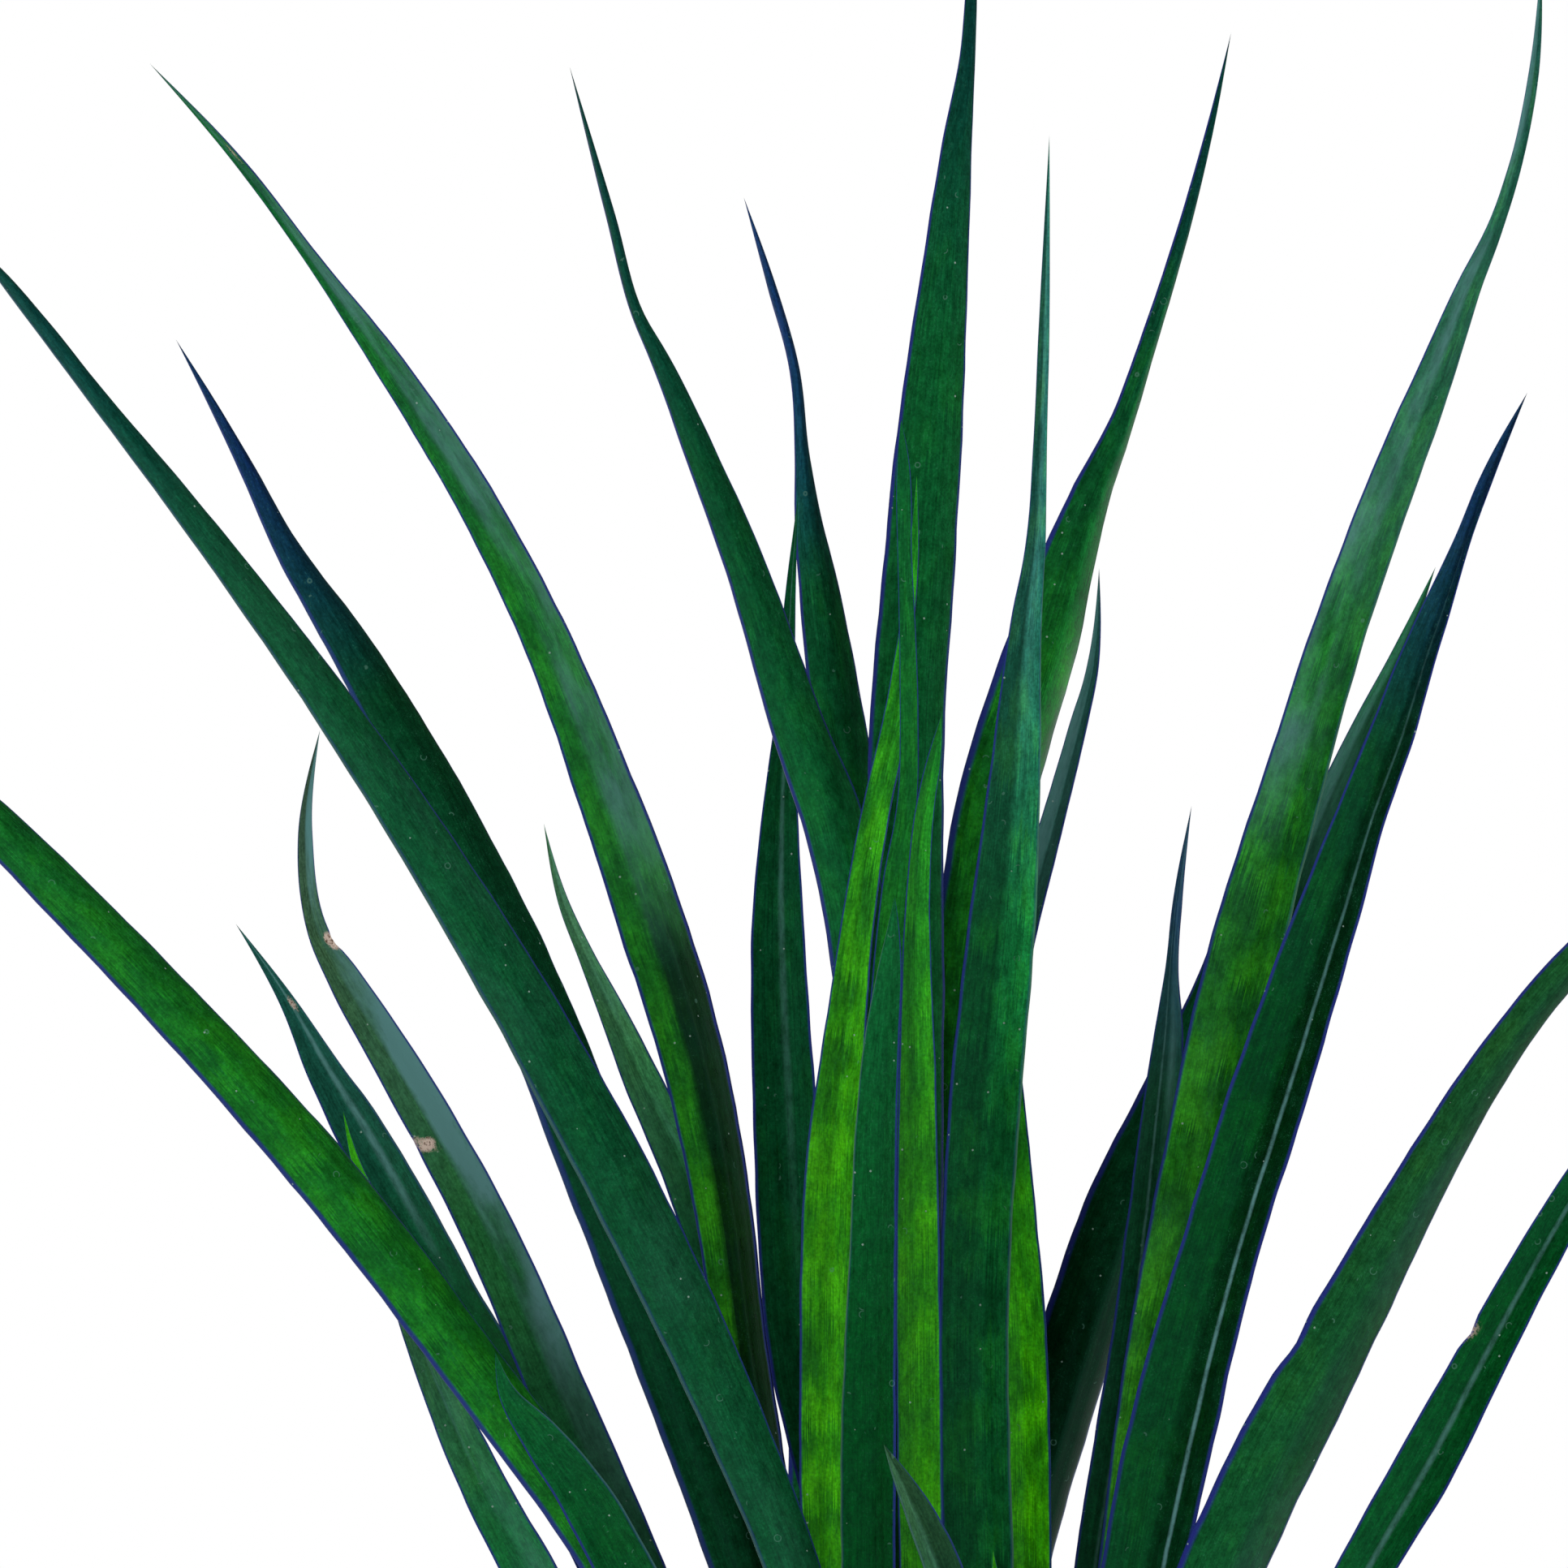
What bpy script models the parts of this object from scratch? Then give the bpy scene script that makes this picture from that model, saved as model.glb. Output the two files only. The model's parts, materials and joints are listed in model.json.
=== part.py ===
"""Potted snake plant with narrow, channelled leaves that end in long thin tips.

The plant stands in a plain round stoneware pot. +Z is up, +X is to the right of someone who
faces the plant, and -Y points at that person. The origin is the centre of the pot's flat
underside. Each leaf is a separate closed solid, rooted in its own pocket in the soil.
"""

import bpy
import numpy as np

MM = 0.001

# Pot, in millimetres: a tapered wall with a plain collar at the top.
POT_HEIGHT = 150.0
POT_FOOT_RADIUS = 57.0
POT_NECK_RADIUS = 78.0
POT_RIM_RADIUS = 84.0
COLLAR_HEIGHT = 27.0
COLLAR_LIP = 1.5
COLLAR_ROUND = 2.5
EDGE = 2.0
INSIDE_BEVEL = 4.0
WALL = 6.0
FLOOR = 7.0
POT_SIDES = 48

# Soil: it fills the pot to a little under the rim and heaps up slightly round the plant.
SOIL_TOP = 130.0
SOIL_HEAP = 3.0
SOIL_ROUND = 6.0
GAP = 0.3

# Leaves: every foot sits this deep in the soil, and a ring follows at most every RING_STEP.
FOOT_Z = 115.0
FOOT_POINT = 3.0
RING_STEP = 34.0
POCKET_GAP = 0.4
POCKET_TOP = 143.0
BLADE_THICKNESS = 1.3
THICKNESS_SHARE = 0.13
BACK_CORNER = 0.55
BACK_CORNER_CHANNEL = 0.62
BACK_CORNER_THICKNESS = 0.72
CHANNEL_POINT = 1
BACK_POINT = 4
SHARP_ANGLE = 35.0

# One row for each leaf, in millimetres and degrees:
#   name, foot (x, y, width), y at mid length and at the tip, turn at foot and tip, fold,
#   then the blade's middle line seen from the front as (x, z, width), up to the tip.
# A turn of 0 shows the channel to the front, and a turn of 180 shows the rounded back.
LEAVES = (
    ("leaf_01", (-43, -41, 11), (-54, -78), (150, 165), 0.30,
     ((-79, 278.4, 16.4), (-108, 319, 16), (-148.4, 371.8, 16), (-188, 416, 13.8),
      (-227.2, 456.3, 11.4), (-247, 476, 7.5), (-265, 492, 4.2), (-300, 520, 0))),
    ("leaf_02", (-46, -4, 10), (-10, -18), (20, 10), 0.45,
     ((-80, 274, 14), (-118, 340, 14), (-140.4, 381, 12.4), (-150.3, 398, 8.4), (-157.6, 412, 4.4),
      (-171, 432.5, 0))),
    ("leaf_03", (-36, -16, 11), (-24, -30), (20, -10), 0.45,
     ((-72.5, 274, 14), (-88, 309, 14.5), (-110.2, 360, 13), (-132.4, 400, 10.8), (-144, 419, 8.3),
      (-149.8, 429, 5.6), (-153.6, 454, 3.6), (-150, 480, 0))),
    ("leaf_04", (-46, -24, 6), (-32, -42), (20, 10), 0.40,
     ((-62, 240, 9), (-95, 300, 8), (-120, 340, 5), (-140, 372, 2.6), (-144, 387, 0))),
    ("leaf_05", (-51, -30, 9), (-34, -38), (20, 10), 0.40,
     ((-98.4, 274, 13.4), (-107.2, 290, 12.2), (-121, 320, 9), (-132, 348, 5), (-141, 370, 0))),
    ("leaf_06", (-33, -51, 10), (-58, -64), (20, 10), 0.30,
     ((-74, 274, 14.5), (-87, 297, 12.5), (-96, 309, 9.6), (-104, 320, 4), (-106.5, 329, 0))),
    ("leaf_07", (-6, -57, 11), (-66, -84), (170, 160), 0.22,
     ((-33.5, 274, 13.5), (-51.3, 318, 15.8), (-70.5, 358.8, 17.4), (-101.2, 415.6, 16),
      (-142.2, 480.4, 11.4), (-184.2, 537.3, 6.8), (-204.3, 562.6, 4.6), (-225.5, 589.5, 2.6),
      (-234, 599, 0))),
    ("leaf_08", (-24, -20, 12), (-24, -50), (160, 150), 0.28,
     ((-46, 274, 18), (-59, 311, 19), (-78, 362, 20), (-107.3, 434, 18), (-142.4, 500, 11.6),
      (-158.8, 526, 6.6), (-167.2, 543, 4.2), (-184.5, 575, 0))),
    ("leaf_09", (-27, 2, 12), (2, -8), (35, 25), 0.55,
     ((-39, 274, 15), (-47.5, 330, 15), (-52, 364, 16.5), (-58.8, 398, 18.2), (-69.7, 434, 19),
      (-82, 469, 16.4), (-95, 502, 13.4), (-114, 539, 11), (-135.3, 572, 8), (-152, 595, 4),
      (-170, 619, 2.6), (-192.5, 644, 0))),
    ("leaf_10", (-38, 12, 10), (24, 22), (30, 10), 0.40,
     ((-48, 300, 13), (-51, 340, 13), (-61, 370, 11.8), (-72, 394, 9.4), (-79, 410, 7),
      (-85, 423, 4.4), (-91, 437, 2.8), (-96, 457, 0))),
    ("leaf_11", (-7, -22, 11), (-17, -26), (165, 170), 0.28,
     ((-9, 274, 15), (-13, 380, 16), (-17, 422, 16), (-24.5, 458, 15.5), (-32.5, 479, 13.8),
      (-44.5, 516, 10.6), (-55.5, 544, 8.2), (-67.5, 572, 4.6), (-72, 581, 3.2), (-79, 606, 2.4),
      (-89, 642.5, 0))),
    ("leaf_12", (-14, -10, 11), (-5, 4), (20, 0), 0.50,
     ((-20, 274, 15), (-31, 320, 16.5), (-36.5, 390, 15.6), (-38, 440, 12), (-37.5, 460, 8.8),
      (-36.5, 479, 5.6), (-35, 512, 2.8), (-33, 538, 0))),
    ("leaf_13", (0, 3, 11), (7, 30), (160, 170), 0.30,
     ((-4, 274, 15), (-10, 380, 16), (-16, 440, 15), (-23, 482, 13.5), (-28, 516, 10),
      (-30.5, 532, 7), (-32, 548, 3.8), (-34, 570, 2.6), (-39.5, 590, 2.2), (-46.5, 612.5, 0))),
    ("leaf_14", (-23, -37, 8), (-40, -46), (10, 10), 0.35,
     ((-17, 274, 10), (-15, 340, 10), (-12, 400, 9), (-9, 444, 6.6), (-6.5, 462, 5), (-6, 484, 4.6),
      (-7, 520, 3.6), (-7.6, 548, 2.4), (-8, 555.5, 0))),
    ("leaf_15", (-19, -28, 10), (-31, -28), (15, 20), 0.40,
     ((-26, 274, 13), (-26, 330, 14), (-24.5, 380, 13), (-22, 402, 11), (-19.5, 425, 9),
      (-14.5, 458, 7.4), (-9, 484, 6.4), (-7, 501, 4), (-5, 520, 2.8), (-4, 542.5, 0))),
    ("leaf_16", (-11, -46, 10), (-50, -56), (25, 15), 0.35,
     ((-16, 274, 14), (-16, 310, 14), (-15, 350, 12), (-12.8, 404, 8.8), (-11, 420, 6.4),
      (-10, 431, 3.2), (-9.6, 439.5, 0))),
    ("leaf_17", (3, -45, 9), (-42, -48), (-10, -15), 0.40,
     ((-3, 274, 11), (-3.8, 340, 11.2), (-4, 400, 9), (-3.8, 440, 6), (-2, 462, 4.6), (0.5, 475, 3),
      (1.8, 483.5, 0))),
    ("leaf_18", (8, -12, 12), (-4, 24), (170, 172), 0.22,
     ((-5, 274, 17), (-6.6, 420, 19.4), (-6, 484, 18.8), (-3.2, 520, 18), (-0.3, 556, 16.2),
      (2.9, 590, 12.2), (6.4, 626, 7.4), (9, 648, 3.8), (9.8, 662, 3), (10.2, 690, 0))),
    ("leaf_19", (12, -61, 8), (-66, -72), (-30, -30), 0.60,
     ((10, 240, 10), (3.2, 274, 10.5), (-3.4, 290, 8), (-8, 299, 4.4), (-12.4, 307, 0))),
    ("leaf_20", (27, -54, 7), (-60, -64), (10, 10), 0.40,
     ((19, 230, 8), (15.5, 266, 4), (14.2, 281, 0))),
    ("leaf_21", (16, -34, 12), (-34, -42), (10, 0), 0.45,
     ((11, 274, 17.5), (10, 340, 17), (13, 394, 17.6), (16.5, 430, 16.6), (20, 470, 12.4),
      (22.8, 508, 7.4), (24.8, 524, 5), (26, 550, 3.4), (27, 580, 2.6), (28.2, 625, 0))),
    ("leaf_22", (16, 8, 12), (24, 66), (155, 150), 0.35,
     ((4, 274, 16), (6, 400, 18), (16.5, 465, 21.5), (28.2, 503, 19.6), (39.5, 538, 11.4),
      (48, 558, 6.6), (53, 573, 5.2), (64.5, 610, 3.2), (75.5, 655, 0))),
    ("leaf_23", (8, 21, 9), (36, 70), (15, 30), 0.45,
     ((8, 274, 13), (13, 390, 12), (23, 432, 9), (30.7, 458, 6.4), (37.2, 482, 4.8),
      (40.3, 494, 3.4), (42.5, 521, 0))),
    ("leaf_24", (23, -20, 10), (-20, -20), (10, 20), 0.40,
     ((22.5, 274, 13.5), (21.5, 330, 13.5), (19, 372, 11), (19, 400, 4.6), (18, 424, 0))),
    ("leaf_25", (26, 22, 11), (44, 50), (160, 160), 0.30,
     ((22, 274, 17), (31.5, 311, 19.5), (47.2, 360, 19.6), (61.5, 396, 12), (69, 418, 5.4),
      (75, 442, 0))),
    ("leaf_26", (30, 6, 10), (3, 2), (30, 20), 0.55,
     ((41.5, 274, 14), (51, 334, 13.5), (56, 380, 11), (58.5, 408, 7), (59, 420, 3.6),
      (60.5, 438, 2.4), (64, 461.5, 0))),
    ("leaf_27", (37, -9, 11), (-10, 18), (25, 10), 0.50,
     ((48, 274, 15.5), (56, 330, 17), (64, 370, 17.5), (78, 430, 18.5), (89, 468, 15.6),
      (100, 504, 13.6), (115.8, 547, 11.6), (125, 570, 9.2), (133.2, 591, 6), (138.6, 603, 4.2),
      (144.3, 620, 3.2), (148.8, 642, 2.6), (151, 672, 0))),
    ("leaf_28", (46, 10, 9), (14, 8), (10, 10), 0.45,
     ((52, 274, 12), (64, 345, 12), (77, 400, 11), (92, 448, 8), (104.2, 477, 5), (115.3, 499, 3.6),
      (124.4, 520.4, 0))),
    ("leaf_29", (34, -32, 13), (-36, -52), (20, 10), 0.40,
     ((51, 274, 21), (58.5, 310, 22), (69, 350, 19.6), (82, 392, 19.4), (97.1, 438, 15.4),
      (104.5, 460, 12.4), (112, 480, 11), (118.4, 499, 8.8), (123.4, 512, 6.6), (129, 527, 4),
      (134, 540, 3.4), (144.3, 562, 0))),
    ("leaf_30", (37, -43, 11), (-56, -72), (160, 165), 0.25,
     ((69, 274, 21.5), (89.5, 317, 20.5), (100.3, 337, 18), (119.6, 373, 13.4), (140.9, 407, 9.8),
      (154, 423, 8.8), (175, 443, 5), (202, 466, 3), (225, 488, 0))),
    ("leaf_31", (49, -26, 10), (-32, -28), (15, 0), 0.45,
     ((105.2, 274, 13.6), (122.1, 303.5, 14.6), (133.4, 325, 12.8), (154, 362, 10), (170, 388, 7.4),
      (184, 412, 3.6), (198, 440, 0))),
    ("leaf_32", (-10, 17, 11), (48, 128), (175, 185), 0.35,
     ((-9, 250, 15), (-8, 330, 14), (-7, 400, 9), (-6, 430, 4), (-5, 470, 0))),
    ("leaf_33", (-26, 24, 10), (58, 150), (160, 150), 0.40,
     ((-28, 230, 14), (-29, 300, 14), (-27, 360, 9), (-26, 385, 4), (-24, 415, 0))),
    ("leaf_34", (4, 34, 11), (66, 142), (185, 195), 0.40,
     ((7, 250, 15), (10, 340, 15), (13, 420, 9), (14, 450, 4), (15, 484, 0))),
    ("leaf_35", (24, 38, 10), (72, 132), (200, 205), 0.40,
     ((24, 230, 13), (23, 290, 13), (20, 340, 8), (18, 362, 4), (16, 392, 0))),
    ("leaf_36", (-8, 46, 9), (84, 160), (180, 175), 0.45,
     ((-6, 210, 12), (-4, 260, 12), (-2, 300, 7), (-1, 320, 3.4), (0, 345, 0))),
    ("leaf_37", (44, 22, 9), (34, 60), (210, 215), 0.45,
     ((50, 190, 11), (58, 230, 9), (64, 252, 4), (68, 268, 0))),
    ("leaf_38", (-46, 26, 9), (40, 70), (150, 145), 0.45,
     ((-50, 190, 11), (-56, 226, 9), (-60, 246, 4), (-63, 264, 0))),
)

LEAF_GREEN = (0.012, 0.085, 0.026, 1.0)
STONEWARE = (0.55, 0.50, 0.44, 1.0)
SOIL_BROWN = (0.045, 0.028, 0.017, 1.0)


def clear_scene():
    """Remove every object that the file opens with."""
    for item in list(bpy.data.objects):
        bpy.data.objects.remove(item, do_unlink=True)


def make_material(name, colour, roughness):
    """A plain Principled material."""
    material = bpy.data.materials.new(name)
    material.use_nodes = True
    shader = material.node_tree.nodes["Principled BSDF"]
    shader.inputs["Base Color"].default_value = colour
    shader.inputs["Roughness"].default_value = roughness
    shader.inputs["Metallic"].default_value = 0.0
    material.diffuse_color = colour
    return material


def add_object(name, points, faces, material):
    """A smooth-shaded mesh object from points in millimetres."""
    mesh = bpy.data.meshes.new(name)
    mesh.from_pydata((np.asarray(points) * MM).tolist(), [], faces)
    mesh.materials.append(material)
    mesh.shade_smooth()
    mesh.set_sharp_from_angle(angle=np.radians(SHARP_ANGLE))
    item = bpy.data.objects.new(name, mesh)
    bpy.context.scene.collection.objects.link(item)
    return item


def turned_solid(name, profile, material):
    """Turn an (r, z) profile that starts and ends on the axis about Z."""
    angles = np.arange(POT_SIDES) * 2.0 * np.pi / POT_SIDES
    turn = np.column_stack([np.cos(angles), np.sin(angles)])
    points = [(0.0, 0.0, profile[0][1])]
    for radius, height in profile[1:-1]:
        points.extend((radius * c, radius * s, height) for c, s in turn)
    points.append((0.0, 0.0, profile[-1][1]))
    last = len(points) - 1
    faces = []
    for side in range(POT_SIDES):
        beside = (side + 1) % POT_SIDES
        faces.append((0, 1 + beside, 1 + side))
        for ring in range(len(profile) - 3):
            low = 1 + ring * POT_SIDES
            high = low + POT_SIDES
            faces.append((low + side, low + beside, high + beside, high + side))
        top = last - POT_SIDES
        faces.append((last, top + side, top + beside))
    return add_object(name, points, faces, material)


def wall_radius(height):
    """The pot's inner radius at a height: the inside wall is parallel to the outside one."""
    share = height / (POT_HEIGHT - COLLAR_HEIGHT)
    return POT_FOOT_RADIUS + (POT_NECK_RADIUS - POT_FOOT_RADIUS) * share - WALL


def make_pot(material):
    """The pot: outside wall, collar, rim and inside wall in one turned profile."""
    shoulder = POT_HEIGHT - COLLAR_HEIGHT
    profile = (
        (0.0, 0.0),
        (POT_FOOT_RADIUS - EDGE, 0.0),
        (POT_FOOT_RADIUS, EDGE),
        (POT_NECK_RADIUS, shoulder),
        (POT_RIM_RADIUS - EDGE, shoulder + COLLAR_LIP),
        (POT_RIM_RADIUS, shoulder + COLLAR_LIP + COLLAR_ROUND),
        (POT_RIM_RADIUS, POT_HEIGHT - COLLAR_ROUND),
        (POT_RIM_RADIUS - COLLAR_ROUND, POT_HEIGHT),
        (wall_radius(POT_HEIGHT) + EDGE, POT_HEIGHT),
        (wall_radius(POT_HEIGHT), POT_HEIGHT - EDGE),
        (wall_radius(FLOOR + INSIDE_BEVEL), FLOOR + INSIDE_BEVEL),
        (wall_radius(FLOOR) - INSIDE_BEVEL, FLOOR),
        (0.0, FLOOR),
    )
    return turned_solid("pot", profile, material)


def make_soil(material):
    """The soil: it follows the inside of the pot at a small gap and heaps up in the middle."""
    edge = wall_radius(SOIL_TOP) - GAP
    profile = (
        (0.0, FLOOR + GAP),
        (wall_radius(FLOOR) - INSIDE_BEVEL - GAP, FLOOR + GAP),
        (wall_radius(FLOOR + INSIDE_BEVEL) - GAP, FLOOR + INSIDE_BEVEL + GAP),
        (edge, SOIL_TOP - 1.0),
        (edge - SOIL_ROUND, SOIL_TOP),
        (edge * 0.5, SOIL_TOP + SOIL_HEAP * 0.8),
        (0.0, SOIL_TOP + SOIL_HEAP),
    )
    return turned_solid("soil", profile, material)


def smooth_path(points, distances, wanted):
    """A smooth curve through the points: cubic pieces whose slopes are those of the chords
    on either side, weighted by nearness."""
    points = np.asarray(points, float)
    steps = np.diff(distances)[:, None]
    chords = np.diff(points, axis=0) / steps
    slopes = np.empty_like(points)
    slopes[1:-1] = (chords[:-1] * steps[1:] + chords[1:] * steps[:-1]) / (steps[:-1] + steps[1:])
    slopes[0] = 1.5 * chords[0] - 0.5 * slopes[1]
    slopes[-1] = 1.5 * chords[-1] - 0.5 * slopes[-2]
    piece = np.clip(np.searchsorted(distances, wanted, side="right") - 1, 0, len(steps) - 1)
    width = steps[piece]
    t = ((wanted - distances[piece])[:, None]) / width
    return (
        (1 + 2 * t) * (1 - t) ** 2 * points[piece]
        + t * (1 - t) ** 2 * width * slopes[piece]
        + t**2 * (3 - 2 * t) * points[piece + 1]
        - t**2 * (1 - t) * width * slopes[piece + 1]
    )


def ring_places(distances):
    """Distances along the blade for its rings: every planned point, and even steps between."""
    places = [distances[0]]
    for start, end in zip(distances[:-1], distances[1:]):
        pieces = int(np.ceil((end - start) / RING_STEP))
        places.extend(start + (end - start) * (k + 1) / pieces for k in range(pieces))
    return np.array(places)


def blade_section(half_width, fold):
    """The blade's outline across: left margin, channel, right margin, and the rounded back.
    Half width along x, and the channel opens towards +y."""
    channel = fold * half_width
    thick = BLADE_THICKNESS + THICKNESS_SHARE * half_width * 2.0
    corner = -BACK_CORNER_CHANNEL * channel - BACK_CORNER_THICKNESS * thick
    return np.array([
        (-half_width, 0.0),
        (0.0, -channel),
        (half_width, 0.0),
        (BACK_CORNER * half_width, corner),
        (0.0, -channel - thick),
        (-BACK_CORNER * half_width, corner),
    ])


def grown(outline, gap):
    """The outline pushed out by a gap, each corner to where its two pushed sides meet."""
    sides = np.roll(outline, -1, axis=0) - outline
    out = np.column_stack([-sides[:, 1], sides[:, 0]])
    out /= np.linalg.norm(out, axis=1)[:, None]
    before = np.roll(out, 1, axis=0)
    share = 1.0 + (out * before).sum(axis=1)
    return outline + gap * (out + before) / share[:, None]


def blade_frames(path, turns):
    """At each point of the path, the direction across the blade and the way its channel faces."""
    along = np.gradient(path, axis=0)
    along /= np.linalg.norm(along, axis=1)[:, None]
    front = np.array([0.0, -1.0, 0.0])
    facing = front - along * (along @ front)[:, None]
    facing /= np.linalg.norm(facing, axis=1)[:, None]
    across = np.cross(facing, along)
    cos = np.cos(turns)[:, None]
    sin = np.sin(turns)[:, None]
    return across * cos - facing * sin, facing * cos + across * sin, along


def leaf_rings(row, gap=0.0, top=None):
    """The leaf's rings of points from foot to tip, and the two end points."""
    _, foot, depths, turns, fold, blade = row
    line = np.array([(foot[0], FOOT_Z, foot[2])] + list(blade), float)
    distances = np.concatenate([[0.0], np.cumsum(np.hypot(*np.diff(line[:, :2], axis=0).T))])
    places = ring_places(distances)
    shape = smooth_path(line, distances, places)
    share = places / places[-1]
    y = (
        foot[1] * (1 - share) * (1 - 2 * share)
        + depths[0] * 4 * share * (1 - share)
        + depths[1] * share * (2 * share - 1)
    )
    path = np.column_stack([shape[:, 0], y, shape[:, 1]])
    across, facing, along = blade_frames(path, np.radians(turns[0] + (turns[1] - turns[0]) * share))
    keep = len(path) - 1
    if top is not None:
        keep = int(np.argmax(path[:, 2] > top)) + 1
    rings = []
    for k in range(keep):
        outline = blade_section(0.5 * shape[k, 2], fold)
        if gap:
            outline = grown(outline, gap)
        rings.append(path[k] + outline[:, :1] * across[k] + outline[:, 1:] * facing[k])
    low_end = rings[0][[CHANNEL_POINT, BACK_POINT]].mean(axis=0) - along[0] * (FOOT_POINT + gap)
    high_end = path[-1] if top is None else rings[-1].mean(axis=0)
    return rings, low_end, high_end


def loft_faces(rings_count, sides, first):
    """Faces of a loft whose points are: low end, the rings in turn, high end."""
    faces = []
    high_end = first + 1 + rings_count * sides
    last = high_end - sides
    for k in range(sides):
        beside = (k + 1) % sides
        faces.append((first, first + 1 + k, first + 1 + beside))
        faces.append((high_end, last + beside, last + k))
        for ring in range(rings_count - 1):
            low = first + 1 + ring * sides
            high = low + sides
            faces.append((low + k, high + beside, low + beside))
            faces.append((low + k, high + k, high + beside))
    return faces


def make_leaf(row, material):
    """One leaf as a closed loft from its foot in the soil to its tip."""
    rings, low_end, high_end = leaf_rings(row)
    points = np.vstack([low_end[None], *rings, high_end[None]])
    return add_object(row[0], points, loft_faces(len(rings), len(rings[0]), 0), material)


def make_pockets(material):
    """One cutter with the grown foot of every leaf, which leaves the pockets in the soil."""
    points = []
    faces = []
    for row in LEAVES:
        rings, low_end, high_end = leaf_rings(row, POCKET_GAP, POCKET_TOP)
        faces.extend(loft_faces(len(rings), len(rings[0]), len(points)))
        points.extend(np.vstack([low_end[None], *rings, high_end[None]]))
    cutter = add_object("leaf_pockets", points, faces, material)
    cutter.hide_render = True
    cutter.display_type = "WIRE"
    return cutter


def cut_pockets(soil, cutter):
    """Take the leaves' pockets out of the soil."""
    cut = soil.modifiers.new("pockets", "BOOLEAN")
    cut.operation = "DIFFERENCE"
    cut.solver = "EXACT"
    cut.use_self = True
    cut.object = cutter


def main():
    clear_scene()
    pot_material = make_material("stoneware", STONEWARE, 0.5)
    soil_material = make_material("soil", SOIL_BROWN, 0.95)
    leaf_material = make_material("leaf", LEAF_GREEN, 0.45)
    make_pot(pot_material)
    soil = make_soil(soil_material)
    cut_pockets(soil, make_pockets(soil_material))
    for row in LEAVES:
        make_leaf(row, leaf_material)


main()
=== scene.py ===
"""Finish of a potted snake plant: fine leaves, a stoneware pot, soil with its loose bits, a plain studio.

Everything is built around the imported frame, in metres, +Z up, with the viewer on the -Y side.
"""

import json

import bpy
import numpy as np
from bpy.props import FloatProperty, FloatVectorProperty, IntProperty, PointerProperty
from mathutils import Color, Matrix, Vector

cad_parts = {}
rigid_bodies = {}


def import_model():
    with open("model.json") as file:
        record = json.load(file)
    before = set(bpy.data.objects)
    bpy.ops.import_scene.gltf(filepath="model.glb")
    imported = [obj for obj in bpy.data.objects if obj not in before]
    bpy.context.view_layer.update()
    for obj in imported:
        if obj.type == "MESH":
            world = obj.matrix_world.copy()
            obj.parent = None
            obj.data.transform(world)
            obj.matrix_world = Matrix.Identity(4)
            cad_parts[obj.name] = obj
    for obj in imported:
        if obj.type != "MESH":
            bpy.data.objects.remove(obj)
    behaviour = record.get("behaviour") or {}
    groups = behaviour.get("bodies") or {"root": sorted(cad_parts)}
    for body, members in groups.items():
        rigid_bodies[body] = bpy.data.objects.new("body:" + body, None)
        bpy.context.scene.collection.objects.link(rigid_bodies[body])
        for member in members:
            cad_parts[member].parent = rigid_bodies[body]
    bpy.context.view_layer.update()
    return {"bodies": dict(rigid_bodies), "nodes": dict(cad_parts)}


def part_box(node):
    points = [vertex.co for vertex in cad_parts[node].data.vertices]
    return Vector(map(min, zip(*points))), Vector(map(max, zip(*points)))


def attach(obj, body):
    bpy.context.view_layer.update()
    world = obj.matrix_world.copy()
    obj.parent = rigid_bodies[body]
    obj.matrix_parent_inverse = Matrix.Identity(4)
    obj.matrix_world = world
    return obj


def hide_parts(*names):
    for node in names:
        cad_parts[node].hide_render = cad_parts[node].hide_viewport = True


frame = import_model()
BODY = next(iter(frame["bodies"]))

bl_info = {
    "name": "Potted Snake Plant",
    "version": (1, 0, 0),
    "blender": (4, 5, 0),
    "location": "3D View > Sidebar > Plant",
    "description": "Makes the fine surfaces and finishes of a snake plant in its pot",
    "category": "Object",
}


# ---- looks of the leaves

# How a leaf looks where its row doesn't say. Pairs are for its left and right halves as seen from
# the front. A streak is a painted highlight: it has a place (-1 left to 1 right), a strength, a half
# width, and the heights between which it fades in.
USUAL_LOOK = {
    "band": 0.3,  # how strongly it is banded
    "bloom": (0, 0),  # how much pale wax and painted sheen is on it
    "gain": (1, 1),  # its brightness: partly its own colour, partly painted light and shade on its halves
    "low": (0, 1, 1, 1),  # a height, and what the gains and the bloom are multiplied by below it: painted shade on the lower part
    # the painted highlight streak
    "streak": (0, 0, 0.1, 0, 1),
    "line": (0, 0),  # how pale its margins are
    "crease": 0.3,  # how round its channel's bottom is
    "split": 0,  # where its two halves meet
}


def look(shades, **changes):
    """One leaf's look: the shades at its foot, middle and tip, or with one more before the tip."""
    return {"shades": shades.split(), **USUAL_LOOK, **changes}


# Each leaf's look. The gains are partly its own colour and partly painted light and shade, the low part
# is painted shade, the streaks are painted highlights, and the bloom is wax with painted sheen.
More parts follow.
